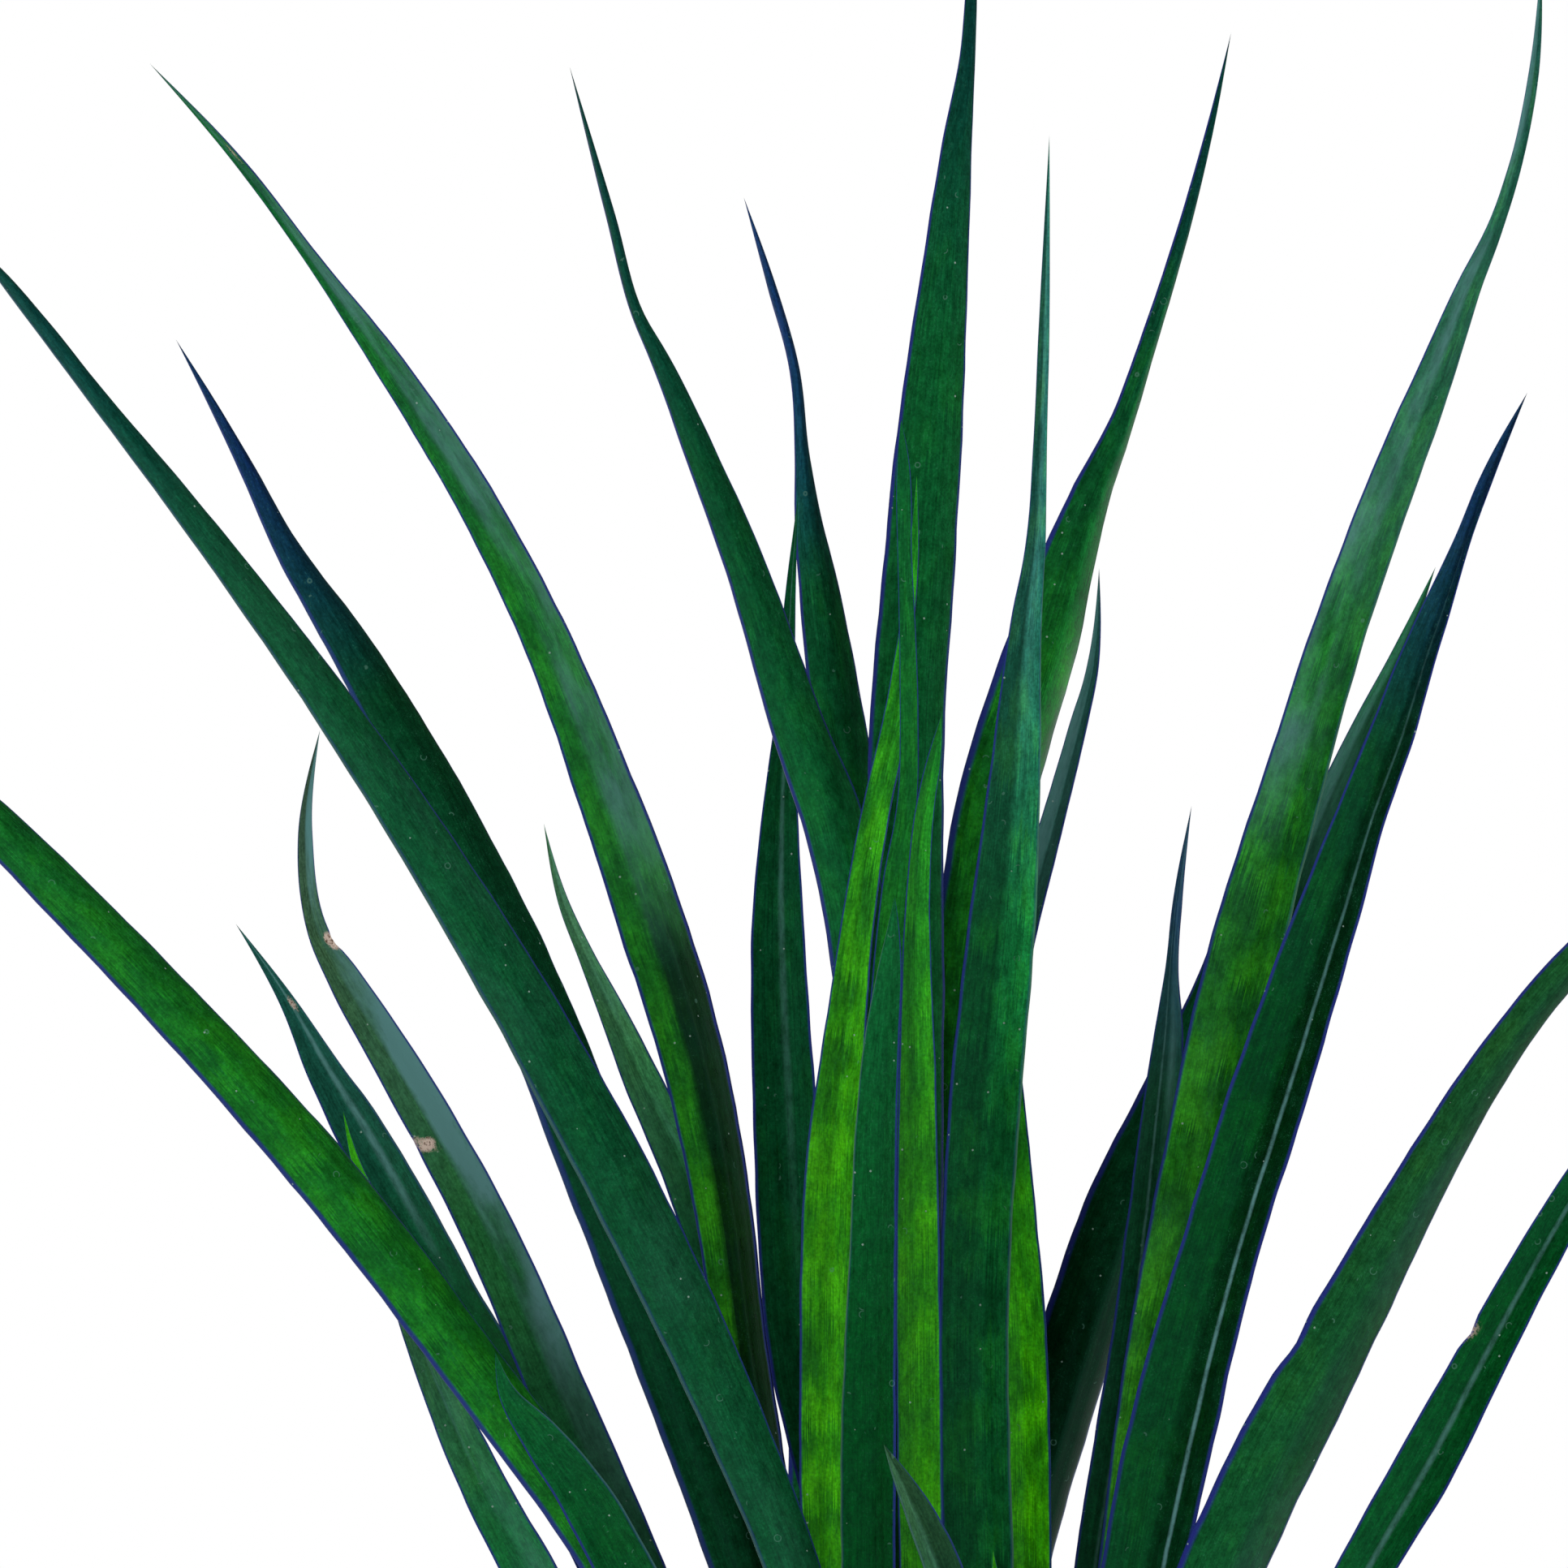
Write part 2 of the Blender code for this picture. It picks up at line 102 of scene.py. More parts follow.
LEAF_LOOKS = {
    1: look("fresh fresh green", band=0.6, gain=(0.9, 0.75), crease=0.6),
    2: look("forest forest blue", band=0.1, gain=(0.95, 0.9),
        streak=(0.2, 1.5, 0.16, 0.34, 0.38), line=(0, 0.3)),
    3: look("deep olive dusty", band=0.1, bloom=(0.15, 2.6), gain=(1.4, 1.4),
        low=(0.33, 0.7, 0.7, 0.2), crease=0.2),
    4: look("green fresh lime", band=0.2, gain=(1.8, 1.8)),
    5: look("green green pale", bloom=(0.2, 0.5), gain=(1.3, 1.3),
        streak=(-0.1, 0.7, 0.08, 0.26, 0.34), crease=0.14),
    6: look("deep forest green", gain=(0.9, 0.9), line=(0, 0.4)),
    7: look("deep deep deep navy", band=0.2, bloom=(0.1, 0.1), gain=(1.1, 1.0), line=(0.4, 0.0),
        crease=0.7),
    8: look("deep deep deep violet", band=0.1, gain=(0.75, 0.5), line=(0.1, 0.1), crease=0.7),
    9: look("lime fresh green", band=0.6, bloom=(0.1, 1.2), low=(0.437, 1.0, 0.1, 0.05),
        crease=0.1, split=-0.35),
    10: look("green green pale", band=0.2, bloom=(0.3, 0.9), gain=(1.4, 1.9), crease=0.14),
    11: look("green green deep navy", band=0.35, gain=(1.0, 0.85), crease=0.6),
    12: look("deep deep deep", band=0.35, streak=(0.1, 0.75, 0.12, 0.32, 0.46), crease=0.4),
    13: look("green green deep violet", band=0.6, gain=(1.2, 0.8), crease=0.6),
    14: look("fresh fresh green", band=0.5, gain=(1.0, 0.9), crease=0.18),
    15: look("lime lime fresh", band=0.85, gain=(1.25, 1.35), crease=0.12),
    16: look("forest forest green", band=0.1, gain=(1.1, 0.9), line=(0.6, 0.0), crease=0.16),
    17: look("lime lime fresh", band=0.6, gain=(0.85, 1.4), crease=0.12),
    18: look("green green green navy", gain=(0.85, 0.9), crease=0.8),
    19: look("deep deep pale", band=0.1, bloom=(0.6, 0.0), gain=(1.2, 0.5), line=(0.5, 0.1),
        crease=0.12),
    20: look("fresh lime lime"),
    21: look("green green blue blue", band=0.8, gain=(0.7, 1.9), low=(0.4, 0.9, 0.6, 0.5),
        streak=(0.25, 0.4, 0.35, 0.44, 0.54), line=(0, 0.5)),
    22: look("fresh fresh green navy", band=0.8, gain=(0.85, 1.4)),
    23: look("green deep blue", band=0.1, bloom=(1.5, 0.3), gain=(1.6, 0.7), crease=0.2),
    24: look("lime lime fresh", band=0.8, gain=(2.0, 2.1), crease=0.16),
    # Painted shade: this leaf's near-black shades stand in for the shadow it lies in.
    25: look("black black deep", band=0.1),
    26: look("deep deep deep violet", band=0.2, bloom=(0.2, 1.1), gain=(0.7, 1.2),
        low=(0.38, 1.0, 0.7, 0.35), streak=(-0.35, 1.0, 0.05, 0.0, 0.42), crease=0.1),
    27: look("lime fresh blue", band=0.9, bloom=(1.4, 0.3), gain=(1.1, 0.8),
        low=(0.465, 0.9, 0.9, 0.1), line=(0, 0.5), crease=0.1),
    28: look("deep deep green", band=0.2, bloom=(1.4, 0.5), gain=(1.5, 0.8), crease=0.14),
    29: look("green forest deep violet", band=0.5, gain=(0.8, 0.35), low=(0.49, 1.0, 0.8, 0.3),
        streak=(0.42, 2.2, 0.05, 0.56, 0.3), crease=0.12),
    30: look("green olive olive", bloom=(0.0, 0.2), gain=(0.85, 0.6), crease=0.5),
    31: look("green forest deep", band=0.2, gain=(1.0, 0.9), streak=(0.05, 1.0, 0.1, 0.46, 0.4),
        crease=0.14),
}
PLAIN_LOOK = look("green green deep", band=0.4, bloom=(0.05, 0.05))

# How far along a leaf each of its shades lies, for three shades and for four.
SHADE_STOPS = {3: (0.3, 0.66, 0.97), 4: (0.3, 0.62, 0.8, 0.93)}

# Old wounds: the leaf's number, height, side of the blade (-1 left to 1 right), reach along it, how
# far the edge is eaten away, and how brown the scar is.
SCARS = (
    (3, 0.4285, 0.75, 0.0015, 0.001, 1.0),
    (3, 0.3785, -0.62, 0.0012, 0.0008, 1.0),
    (2, 0.413, 0.4, 0.0018, 0.0004, 0.6),
    (9, 0.622, 0.3, 0.0026, 0.0002, 0.5),
    (30, 0.331, -1.0, 0.005, 0.0009, 0.0),
    (31, 0.333, -1.0, 0.0024, 0.001, 0.5),
)
SCAR_WIDTH = 0.35


# ---- numpy helpers

def distances(points):
    """How far along a line of points each one lies, from zero at the first."""
    return np.concatenate([[0.0], np.cumsum(np.linalg.norm(np.diff(points, axis=0), axis=1))])


def angles(count):
    """Even angles round a full turn."""
    return np.arange(count) * 2 * np.pi / count


def smooth_through(values, at, wanted):
    """A smooth curve through rows of values: between two rows it is a cubic whose end slopes are the
    neighbouring chords averaged by nearness."""
    steps = np.diff(at)[:, None]
    chords = np.diff(values, axis=0) / steps
    slopes = np.empty_like(values)
    slopes[1:-1] = (chords[:-1] * steps[1:] + chords[1:] * steps[:-1]) / (steps[:-1] + steps[1:])
    slopes[0] = 1.5 * chords[0] - 0.5 * slopes[1]
    slopes[-1] = 1.5 * chords[-1] - 0.5 * slopes[-2]
    piece = np.clip(np.searchsorted(at, wanted, side="right") - 1, 0, len(steps) - 1)
    width = steps[piece]
    t = (wanted - at[piece])[:, None] / width
    return (
        (1 + 2 * t) * (1 - t) ** 2 * values[piece]
        + t * (1 - t) ** 2 * width * slopes[piece]
        + t**2 * (3 - 2 * t) * values[piece + 1]
        - t**2 * (1 - t) * width * slopes[piece + 1]
    )


def unit(vectors):
    """Rows of vectors, each scaled to length one."""
    return vectors / np.linalg.norm(vectors, axis=-1, keepdims=True)


def smooth_step(values, low, high):
    """From 0 at low to 1 at high, by 3t*t - 2t*t*t. Low may be the larger."""
    t = np.clip((values - low) / (high - low), 0, 1)
    return t * t * (3 - 2 * t)


def between(pair, share):
    """From the pair's first value to its second."""
    return pair[0] + (pair[1] - pair[0]) * share


def turn(a, b, angle):
    """Two coordinates of rows of points, turned in their plane by an angle for each row."""
    cos, sin = np.cos(angle)[:, None], np.sin(angle)[:, None]
    return a * cos - b * sin, a * sin + b * cos


WAVE_SHARES = (1.0, 0.71, 0.47, 0.33)


def slow_wave(at, length, seed):
    """A gentle irregular wave about zero: four sines whose wave lengths run from length down to
    a third of it, with chance phases, averaged."""
    draw = np.random.default_rng(seed)
    total = np.zeros_like(at)
    for share in WAVE_SHARES:
        total = total + np.sin(2 * np.pi * at / (length * share) + draw.uniform(0, 2 * np.pi))
    return total / len(WAVE_SHARES)


def value_noise(x, y, cell, seed, grid=256):
    """Smooth noise from -1 to 1 on the plane: chance heights on a square grid of the given cell,
    blended between the four corners round each point by a smooth step in x and in y."""
    heights = np.random.default_rng(seed).uniform(-1, 1, (grid, grid))
    col = np.floor(x / cell).astype(int)
    row = np.floor(y / cell).astype(int)
    s = smooth_step(x / cell - col, 0, 1)
    t = smooth_step(y / cell - row, 0, 1)
    low, high = (
        between((heights[col % grid, up % grid], heights[(col + 1) % grid, up % grid]), s)
        for up in (row, row + 1)
    )
    return between((low, high), t)


# ---- mesh helpers

def new_object(name, data):
    """An object in the scene, at the origin."""
    item = bpy.data.objects.new(name, data)
    bpy.context.scene.collection.objects.link(item)
    return item


def smooth_mesh(name, points, faces, material):
    """An object with a smooth mesh."""
    mesh = bpy.data.meshes.new(name)
    mesh.from_pydata(points, [], faces)
    mesh.materials.append(material)
    mesh.shade_smooth()
    mesh.update()
    return new_object(name, mesh)


def new_piece(name, points, faces, material, slot, stands_for):
    """A mesh that rides on the plant's body and replaces its CAD nodes."""
    piece = smooth_mesh(name, points, faces, material)
    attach(piece, BODY)
    if stands_for:
        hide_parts(*stands_for)
    return piece


def tube_faces(rings, sides, closed=True):
    """Quads between neighbouring rings of points, a fan to a first point, and one to a last point
    where the tube is closed. The points are the first one, the rings in order, and the last one."""
    side = np.arange(sides)
    beside = (side + 1) % sides
    ring = np.arange(rings - 1)[:, None] * sides + 1
    quads = np.stack([ring + side, ring + beside, ring + sides + beside, ring + sides + side], -1)
    faces = quads.reshape(-1, 4).tolist()
    faces += np.stack([np.zeros(sides, int), beside + 1, side + 1], -1).tolist()
    if closed:
        last = rings * sides + 1
        faces += np.stack([np.full(sides, last), last - sides + side, last - sides + beside], -1).tolist()
    return faces


def closed_tube(first, grid, last):
    """Points and faces of a tube of rings, closed to a point at either end."""
    return np.vstack([first, grid.reshape(-1, 3), last]), tube_faces(*grid.shape[:2])


def polar_points(radius, height, sides):
    """Rings of points round Z: each radius, with its height or heights, at even angles."""
    angle = angles(sides)
    return np.stack([radius * np.cos(angle), radius * np.sin(angle), height + 0 * angle], -1)


def point_attribute(mesh, name, kind, values):
    """Store one value for each vertex under a name that a material can read."""
    made = mesh.attributes.new(name, kind, "POINT")
    field = {"FLOAT": "value", "FLOAT_VECTOR": "vector", "FLOAT_COLOR": "color"}[kind]
    made.data.foreach_set(field, np.ascontiguousarray(values, np.float32).ravel())


# ---- material helpers

class Nodes:
    """A short way to lay out a material's nodes and join them."""

    def __init__(self, name):
        self.material = bpy.data.materials.new(name)
        self.material.use_nodes = True
        self.tree = self.material.node_tree
        self.shader = self.tree.nodes["Principled BSDF"]

    def make(self, kind, inputs=None, **settings):
        node = self.tree.nodes.new("ShaderNode" + kind)
        for key, value in settings.items():
            setattr(node, key, value)
        for key, value in (inputs or {}).items():
            self.put(node.inputs[key], value)
        return node

    def put(self, socket, value):
        if isinstance(value, bpy.types.NodeSocket):
            self.tree.links.new(value, socket)
        else:
            socket.default_value = (*value, 1.0) if isinstance(value, Color) else value

    def place(self):
        """The point's place on the object, in metres."""
        return self.make("TexCoord").outputs["Object"]

    def attribute(self, name):
        """The outputs of a stored attribute."""
        return self.make("Attribute", attribute_name=name).outputs

    def split(self, colour):
        """A colour's red, green and blue."""
        return self.make("SeparateColor", {0: colour}).outputs

    def math(self, operation, a, b=0.0, c=0.0, clamp=False):
        return self.make("Math", {0: a, 1: b, 2: c}, operation=operation, use_clamp=clamp).outputs[0]

    def times(self, first, *others, clamp=False):
        """The product of values."""
        for other in others:
            first = self.math("MULTIPLY", first, other, clamp=clamp)
        return first

    def ramp(self, value, low, high, to_low=0.0, to_high=1.0):
        """A smooth step of a value from low to high."""
        inputs = {"Value": value, 1: low, 2: high, 3: to_low, 4: to_high}
        return self.make("MapRange", inputs, interpolation_type="SMOOTHSTEP").outputs["Result"]

    def mix(self, share, a, b, blend="MIX"):
        """A colour between a and b, or a blended with b."""
        node = self.make("Mix", {"Factor": share, 6: a, 7: b}, data_type="RGBA", blend_type=blend)
        return node.outputs[2]

    def shaded(self, colour, value, low, high, darkest, lightest):
        """A colour made darker and lighter as a value goes from low to high."""
        tone = self.ramp(value, low, high, darkest, lightest)
        return self.mix(1.0, colour, self.vector(tone, tone, tone), "MULTIPLY")

    def vector(self, x, y, z=0.0):
        return self.make("CombineXYZ", {0: x, 1: y, 2: z}).outputs[0]

    def noise(self, vector, scale=1.0, detail=2.0, rough=0.5):
        inputs = {"Vector": vector, "Scale": scale, "Detail": detail, "Roughness": rough}
        return self.make("TexNoise", inputs).outputs["Fac"]

    def stretched_noise(self, vector, scales, detail):
        """Noise with a scale of its own along each axis."""
        stretched = self.make("Mapping", {"Vector": vector, "Scale": scales}).outputs[0]
        return self.noise(stretched, detail=detail)

    def cells(self, vector, scale):
        """Chance cells: the distance from the nearest one's middle, and that one's own colour."""
        return self.make("TexVoronoi", {"Vector": vector, "Scale": scale}, feature="F1").outputs

    def some_cells(self, vector, scale, channel, bar):
        """The distance from the nearest cell's middle, and 1 in cells whose colour passes the bar."""
        cells = self.cells(vector, scale)
        return cells["Distance"], self.math("GREATER_THAN", self.split(cells["Color"])[channel], bar)

    def bump(self, height, distance, strength=1.0, under=None):
        inputs = {"Height": height, "Distance": distance, "Strength": strength}
        if under is not None:
            inputs["Normal"] = under
        return self.make("Bump", inputs).outputs["Normal"]

    def finish(self, colour, rough, normal=None, **sockets):
        """Join the shader's sockets, and give back the material."""
        sockets = {key.replace("_", " "): value for key, value in sockets.items()}
        for key, value in {"Base Color": colour, "Roughness": rough, **sockets}.items():
            self.put(self.shader.inputs[key], value)
        if normal is not None:
            self.put(self.shader.inputs["Normal"], normal)
        return self.material


# ---- settings

def a_colour(name, description, default):
    """A colour that the user can change."""
    return FloatVectorProperty(
        name=name, description=description, default=default, size=3, min=0, max=1, subtype="COLOR")


def a_length(name, description, default):
    """A length that the user can change."""
    return FloatProperty(
        name=name, description=description, default=default, min=0, unit="LENGTH", precision=4)


def an_amount(name, description, default, **limits):
    """A plain number that the user can change."""
    return FloatProperty(name=name, description=description, default=default, min=0, **limits)


def a_count(name, description, default, least=0):
    """A count that the user can change."""
    return IntProperty(name=name, description=description, default=default, min=least)


class PLANT_PG_leaves(bpy.types.PropertyGroup):
    """Sizes and colours of the leaves."""

    stations: a_count("Stations", "Rings of points along each leaf", 150, 20)
    sides: a_count("Sides", "Points round each ring", 48, 16)
    deep: a_colour("Deep", "Darkest leaves", (0.0022, 0.056, 0.017))
    # Painted shade: near-black green for a leaf that lies in shadow.
    black: a_colour("Black", "Leaves that are almost black", (0.0006, 0.016, 0.005))
    green: a_colour("Green", "Ordinary leaves", (0.0035, 0.092, 0.021))
    fresh: a_colour("Fresh", "Lighter leaves", (0.0085, 0.15, 0.01))
    lime: a_colour("Lime", "Young leaves", (0.022, 0.2, 0.002))
    blue: a_colour("Blue", "Leaves with a blue cast", (0.012, 0.09, 0.075))
    navy: a_colour("Navy", "Dark bluish tips", (0.002, 0.038, 0.034))
    dusty: a_colour("Dusty", "Greyed old tips", (0.04, 0.075, 0.045))
    # Pale wax bloom, and in the same colour the painted sheen and the painted highlight streaks.
    bloom: a_colour("Bloom", "Waxy bloom on the channel", (0.095, 0.22, 0.215))
    margin: a_colour("Margin", "Thin pale line inside the edge", (0.08, 0.19, 0.08))
    edge: a_colour("Edge", "The very edge of the blade", (0.018, 0.02, 0.185))
    pale: a_colour("Pale", "Pale young tips", (0.04, 0.125, 0.05))
    violet: a_colour("Violet", "Tips that turn blue-violet", (0.006, 0.024, 0.11))
    forest: a_colour("Forest", "Saturated dark leaves", (0.0006, 0.055, 0.008))
    olive: a_colour("Olive", "Dull olive leaves", (0.01, 0.08, 0.02))
    foot: a_colour("Foot", "Pale foot of each leaf near the soil", (0.16, 0.2, 0.07))
    scar: a_colour("Scar", "Old wounds", (0.62, 0.46, 0.38))
    roughness: an_amount("Roughness", "How dull the wax is", 0.31, max=1)


class PLANT_PG_pot(bpy.types.PropertyGroup):
    """Sizes and colours of the pot."""

    foot_radius: a_length("Foot radius", "Radius of the flat underside", 0.057)
    neck_radius: a_length("Neck radius", "Radius where the wall meets the collar", 0.078)
    collar: a_length("Collar", "Height of the collar", 0.027)
    wall: a_length("Wall", "Thickness of the wall", 0.006)
    floor: a_length("Floor", "Thickness of the pot's floor", 0.007)
    ripple: a_length("Ripple", "Depth of the throwing lines", 0.00012)
    glaze: a_colour("Glaze", "Matt glaze", (0.56, 0.52, 0.45))
    shade: a_colour("Shade", "Cloudy darker areas of the glaze", (0.44, 0.4, 0.335))
    fleck: a_colour("Fleck", "Iron flecks in the glaze", (0.1, 0.065, 0.04))


class PLANT_PG_soil(bpy.types.PropertyGroup):
    """Sizes and colours of the soil and what lies on it."""

    chips: a_count("Bark chips", "Pieces of bark on the soil", 620)
    grains: a_count("Perlite", "White grains on the soil", 150)
    damp: a_colour("Damp", "Damp soil", (0.022, 0.014, 0.009))
    dry: a_colour("Dry", "Dry crumbs", (0.085, 0.056, 0.036))
    bark: a_colour("Bark", "Bark chips", (0.11, 0.058, 0.03))
    perlite: a_colour("Perlite", "Perlite grains", (0.72, 0.7, 0.65))


class PLANT_PG_stage(bpy.types.PropertyGroup):
    """Floor, light and camera."""

    floor_radius: a_length("Floor radius", "Radius of the floor", 5.4)
    floor_colour: a_colour("Floor", "Pale floor", (0.8, 0.8, 0.79))
    camera_distance: a_length("Camera distance", "From the plant's middle to the camera", 4.0)
    view_width: a_length("View width", "Width of the view at the plant", 0.3864)
    view_left: a_length("View left", "From the pot's middle to the view's", 0.0365)
    view_height: a_length("View height", "Height of the camera", 0.4668)
    side_power: an_amount("Side light", "Power of each side softbox", 26, unit="POWER")
    front_power: an_amount("Front light", "Power of the front softbox", 18, unit="POWER")
    far_glow: an_amount("Far glow", "Glow of the floor's far part", 0.72)
    surround: an_amount("Surround", "Brightness of the studio's walls", 0.35)
    mirrored: an_amount("Mirrored", "Brightness of the walls where gloss mirrors them", 0.06)


# ---- leaves

RING = 6
DOUBLED = 5  # decimals that doubled CAD points share, in metres
TIP_CROWDING = 1.25  # how much closer together the fine rings are towards the tip
THINNEST = 2e-5
FRONT_BULGE = 0.16  # share of the thickness in front of the camber
BACK_BULGE = 0.92
GROOVES = 4
GROOVE_REACH = 0.75
GROOVE_WIDTH = 0.07
GROOVE_DEPTH = 0.0001
GROOVED_HALF = 0.005  # half width from which the grooves and waves are at their deepest
EDGE_SWING = 0.022  # share of the half width by which an edge wanders
EDGE_WAVE = 0.047
FACE_SWING = 0.00016
FACE_WAVE = 0.019
FACE_LEAN = 0.004
HALF_BLADE = 0.01  # width of half a blade in its pattern's own measure
PATTERN_SHIFT = 1.37
SPLIT_BLEND = 0.1  # half the width over which the looks of the two halves blend
LOW_BLEND = 0.018  # half the height over which the painted shade of the low part blends in
PALE_FOOT = (0.165, 0.133)  # heights between which the pale foot comes in


def merged_mesh(node):
    """A CAD node's points with the doubled ones merged, and its triangles."""
    mesh = frame["nodes"][node].data
    points = np.empty(len(mesh.vertices) * 3, np.float32)
    mesh.vertices.foreach_get("co", points)
    faces = np.empty(len(mesh.loops), np.int32)
    mesh.loops.foreach_get("vertex_index", faces)
    points = points.reshape(-1, 3).astype(float)
    rounded = np.round(points, DOUBLED)
    _, first, index = np.unique(rounded, axis=0, return_index=True, return_inverse=True)
    return points[first], index.reshape(-1)[faces].reshape(-1, 3)


def rings_of(points, faces):
    """The leaf's rings from its foot to its tip: the points that are one, two, three steps along
    the mesh's edges from the lowest point, and so on."""
    near = np.zeros((len(points), len(points)), bool)
    near[faces, np.roll(faces, 1, axis=1)] = True
    near |= near.T
    layer = np.zeros(len(points), bool)
    layer[np.argmin(points[:, 2])] = True
    seen = layer.copy()
    layers = []
    while layer.any():
        layers.append(points[layer])
        layer = near[layer].any(axis=0) & ~seen
        seen |= layer
    if len(layers[-1]) != 1 or any(len(ring) != RING for ring in layers[1:-1]):
        raise RuntimeError("a leaf's mesh isn't rings of six points between two end points")
    return layers


def ring_shape(ring, across, facing):
    """Centre, across, facing, half width, channel depth and thickness of a ring of six points:
    its margins are its outermost points across, its back the furthest behind them, and its
    channel the point nearest to halfway that isn't the back."""
    from_mean = ring - ring.mean(axis=0)
    sideways = from_mean @ across
    back = int(np.argmin(from_mean @ facing))
    left = int(np.argmin(sideways))
    right = int(np.argmax(sideways))
    centre = (ring[left] + ring[right]) / 2
    others = [k for k in range(RING) if k not in (back, left, right)]
    channel = min(others, key=lambda k: abs((ring[k] - centre) @ across))
    across = unit(ring[right] - ring[left])
    facing = unit(centre - ring[back])
    depth = (centre - ring[channel]) @ facing
    thick = np.linalg.norm(ring[back] - centre) - depth
    half = np.linalg.norm(ring[right] - ring[left]) / 2
    return np.concatenate([centre, across, facing, [half, depth, thick]])


def leaf_skeleton(node):
    """Rows of ring shapes along a leaf from its foot to its tip, with the foot's end point."""
    layers = rings_of(*merged_mesh(node))
    ring = layers[1]
    apart = np.linalg.norm(ring[:, None] - ring[None], axis=-1)
    a, b = np.unravel_index(np.argmax(apart), apart.shape)
    centre = (ring[a] + ring[b]) / 2
    across = unit(ring[b] - ring[a])
    off = ring - centre
    off -= (off @ across)[:, None] * across
    facing = -unit(off[np.argmax(np.linalg.norm(off, axis=1))])
    along = layers[2].mean(axis=0) - ring.mean(axis=0)
    if np.cross(facing, along) @ across < 0:
        across = -across
    rows = []
    for ring in layers[1:-1]:
        row = ring_shape(ring, across, facing)
        across, facing = row[3:6], row[6:9]
        rows.append(row)
    tip = rows[-1].copy()
    tip[:3] = layers[-1][0]
    tip[9:] = 0.0
    return np.array(rows + [tip]), layers[0][0]


def blade_surface(rows, stations, sides, crease, seed):
    """The leaf's surface as a grid (along, round). Round the blade, an angle a gives the place across,
    s = cos a. The camber is a V with a rounded bottom, (sqrt(s*s + k*k) - k) / (sqrt(1 + k*k) - k),
    and an ellipse of the blade's thickness is laid over it, mostly behind it. The margins wander by
    a slow wave, shallow grooves run along both sides, and the rings crowd a little near the tip."""
    at = distances(rows[:, :3])
    places = at[-1] * (1 - (1 - np.linspace(0.0, 1.0, stations + 1)) ** TIP_CROWDING)[:-1]
    shape = smooth_through(rows, at, places)
    across = unit(shape[:, 3:6])
    facing = unit(shape[:, 6:9] - (shape[:, 6:9] * across).sum(-1, keepdims=True) * across)
    half, depth, thick = np.maximum(shape[:, 9:12], THINNEST).T[..., None]
    s, outward = np.cos(angles(sides)), np.sin(angles(sides))
    camber = (np.sqrt(s * s + crease**2) - crease) / (np.sqrt(1 + crease**2) - crease)
    height = depth * (camber - 1) + thick * np.where(outward > 0, FRONT_BULGE, BACK_BULGE) * outward
    room = np.clip(half / GROOVED_HALF, 0, 1)
    for place in np.random.default_rng(seed).uniform(-GROOVE_REACH, GROOVE_REACH, GROOVES):
        groove = np.exp(-((s - place) / GROOVE_WIDTH) ** 2)
        height = height - GROOVE_DEPTH * room * groove * np.sign(outward)
    left, right = (
        half * (1 + EDGE_SWING * slow_wave(places, EDGE_WAVE, seed + k)[:, None]) for k in (6, 8)
    )
    x = s * np.where(s > 0, right, left)
    height = height + FACE_SWING * room * slow_wave(places[:, None] + FACE_LEAN * s, FACE_WAVE, seed + 3)
    points = shape[:, None, :3] + x[..., None] * across[:, None] + height[..., None] * facing[:, None]
    return points, places, s + np.zeros_like(height), shape


def mixed_shades(settings, shades, share):
    """Colour along a leaf, from its foot's shade over its middle's to its tip's."""
    colours = np.array([getattr(settings, name)[:] for name in shades])
    return np.stack([np.interp(share, SHADE_STOPS[len(shades)], colours[:, k]) for k in range(3)], -1)


def add_scars(number, points, to_right, scarred):
    """Press the old wounds into the edge and mark them: each is a round falloff about its place."""
    for leaf, height, side, reach, bite, brown in SCARS:
        if leaf != number:
            continue
        near = np.exp(-((points[..., 2] - height) / reach) ** 2)
        near *= np.exp(-((to_right - side) / SCAR_WIDTH) ** 2)
        towards = unit(points.mean(axis=1, keepdims=True) - points + 1e-9)
        points += towards * (bite * near)[..., None]
        np.maximum(scarred, brown * near**0.5, out=scarred)


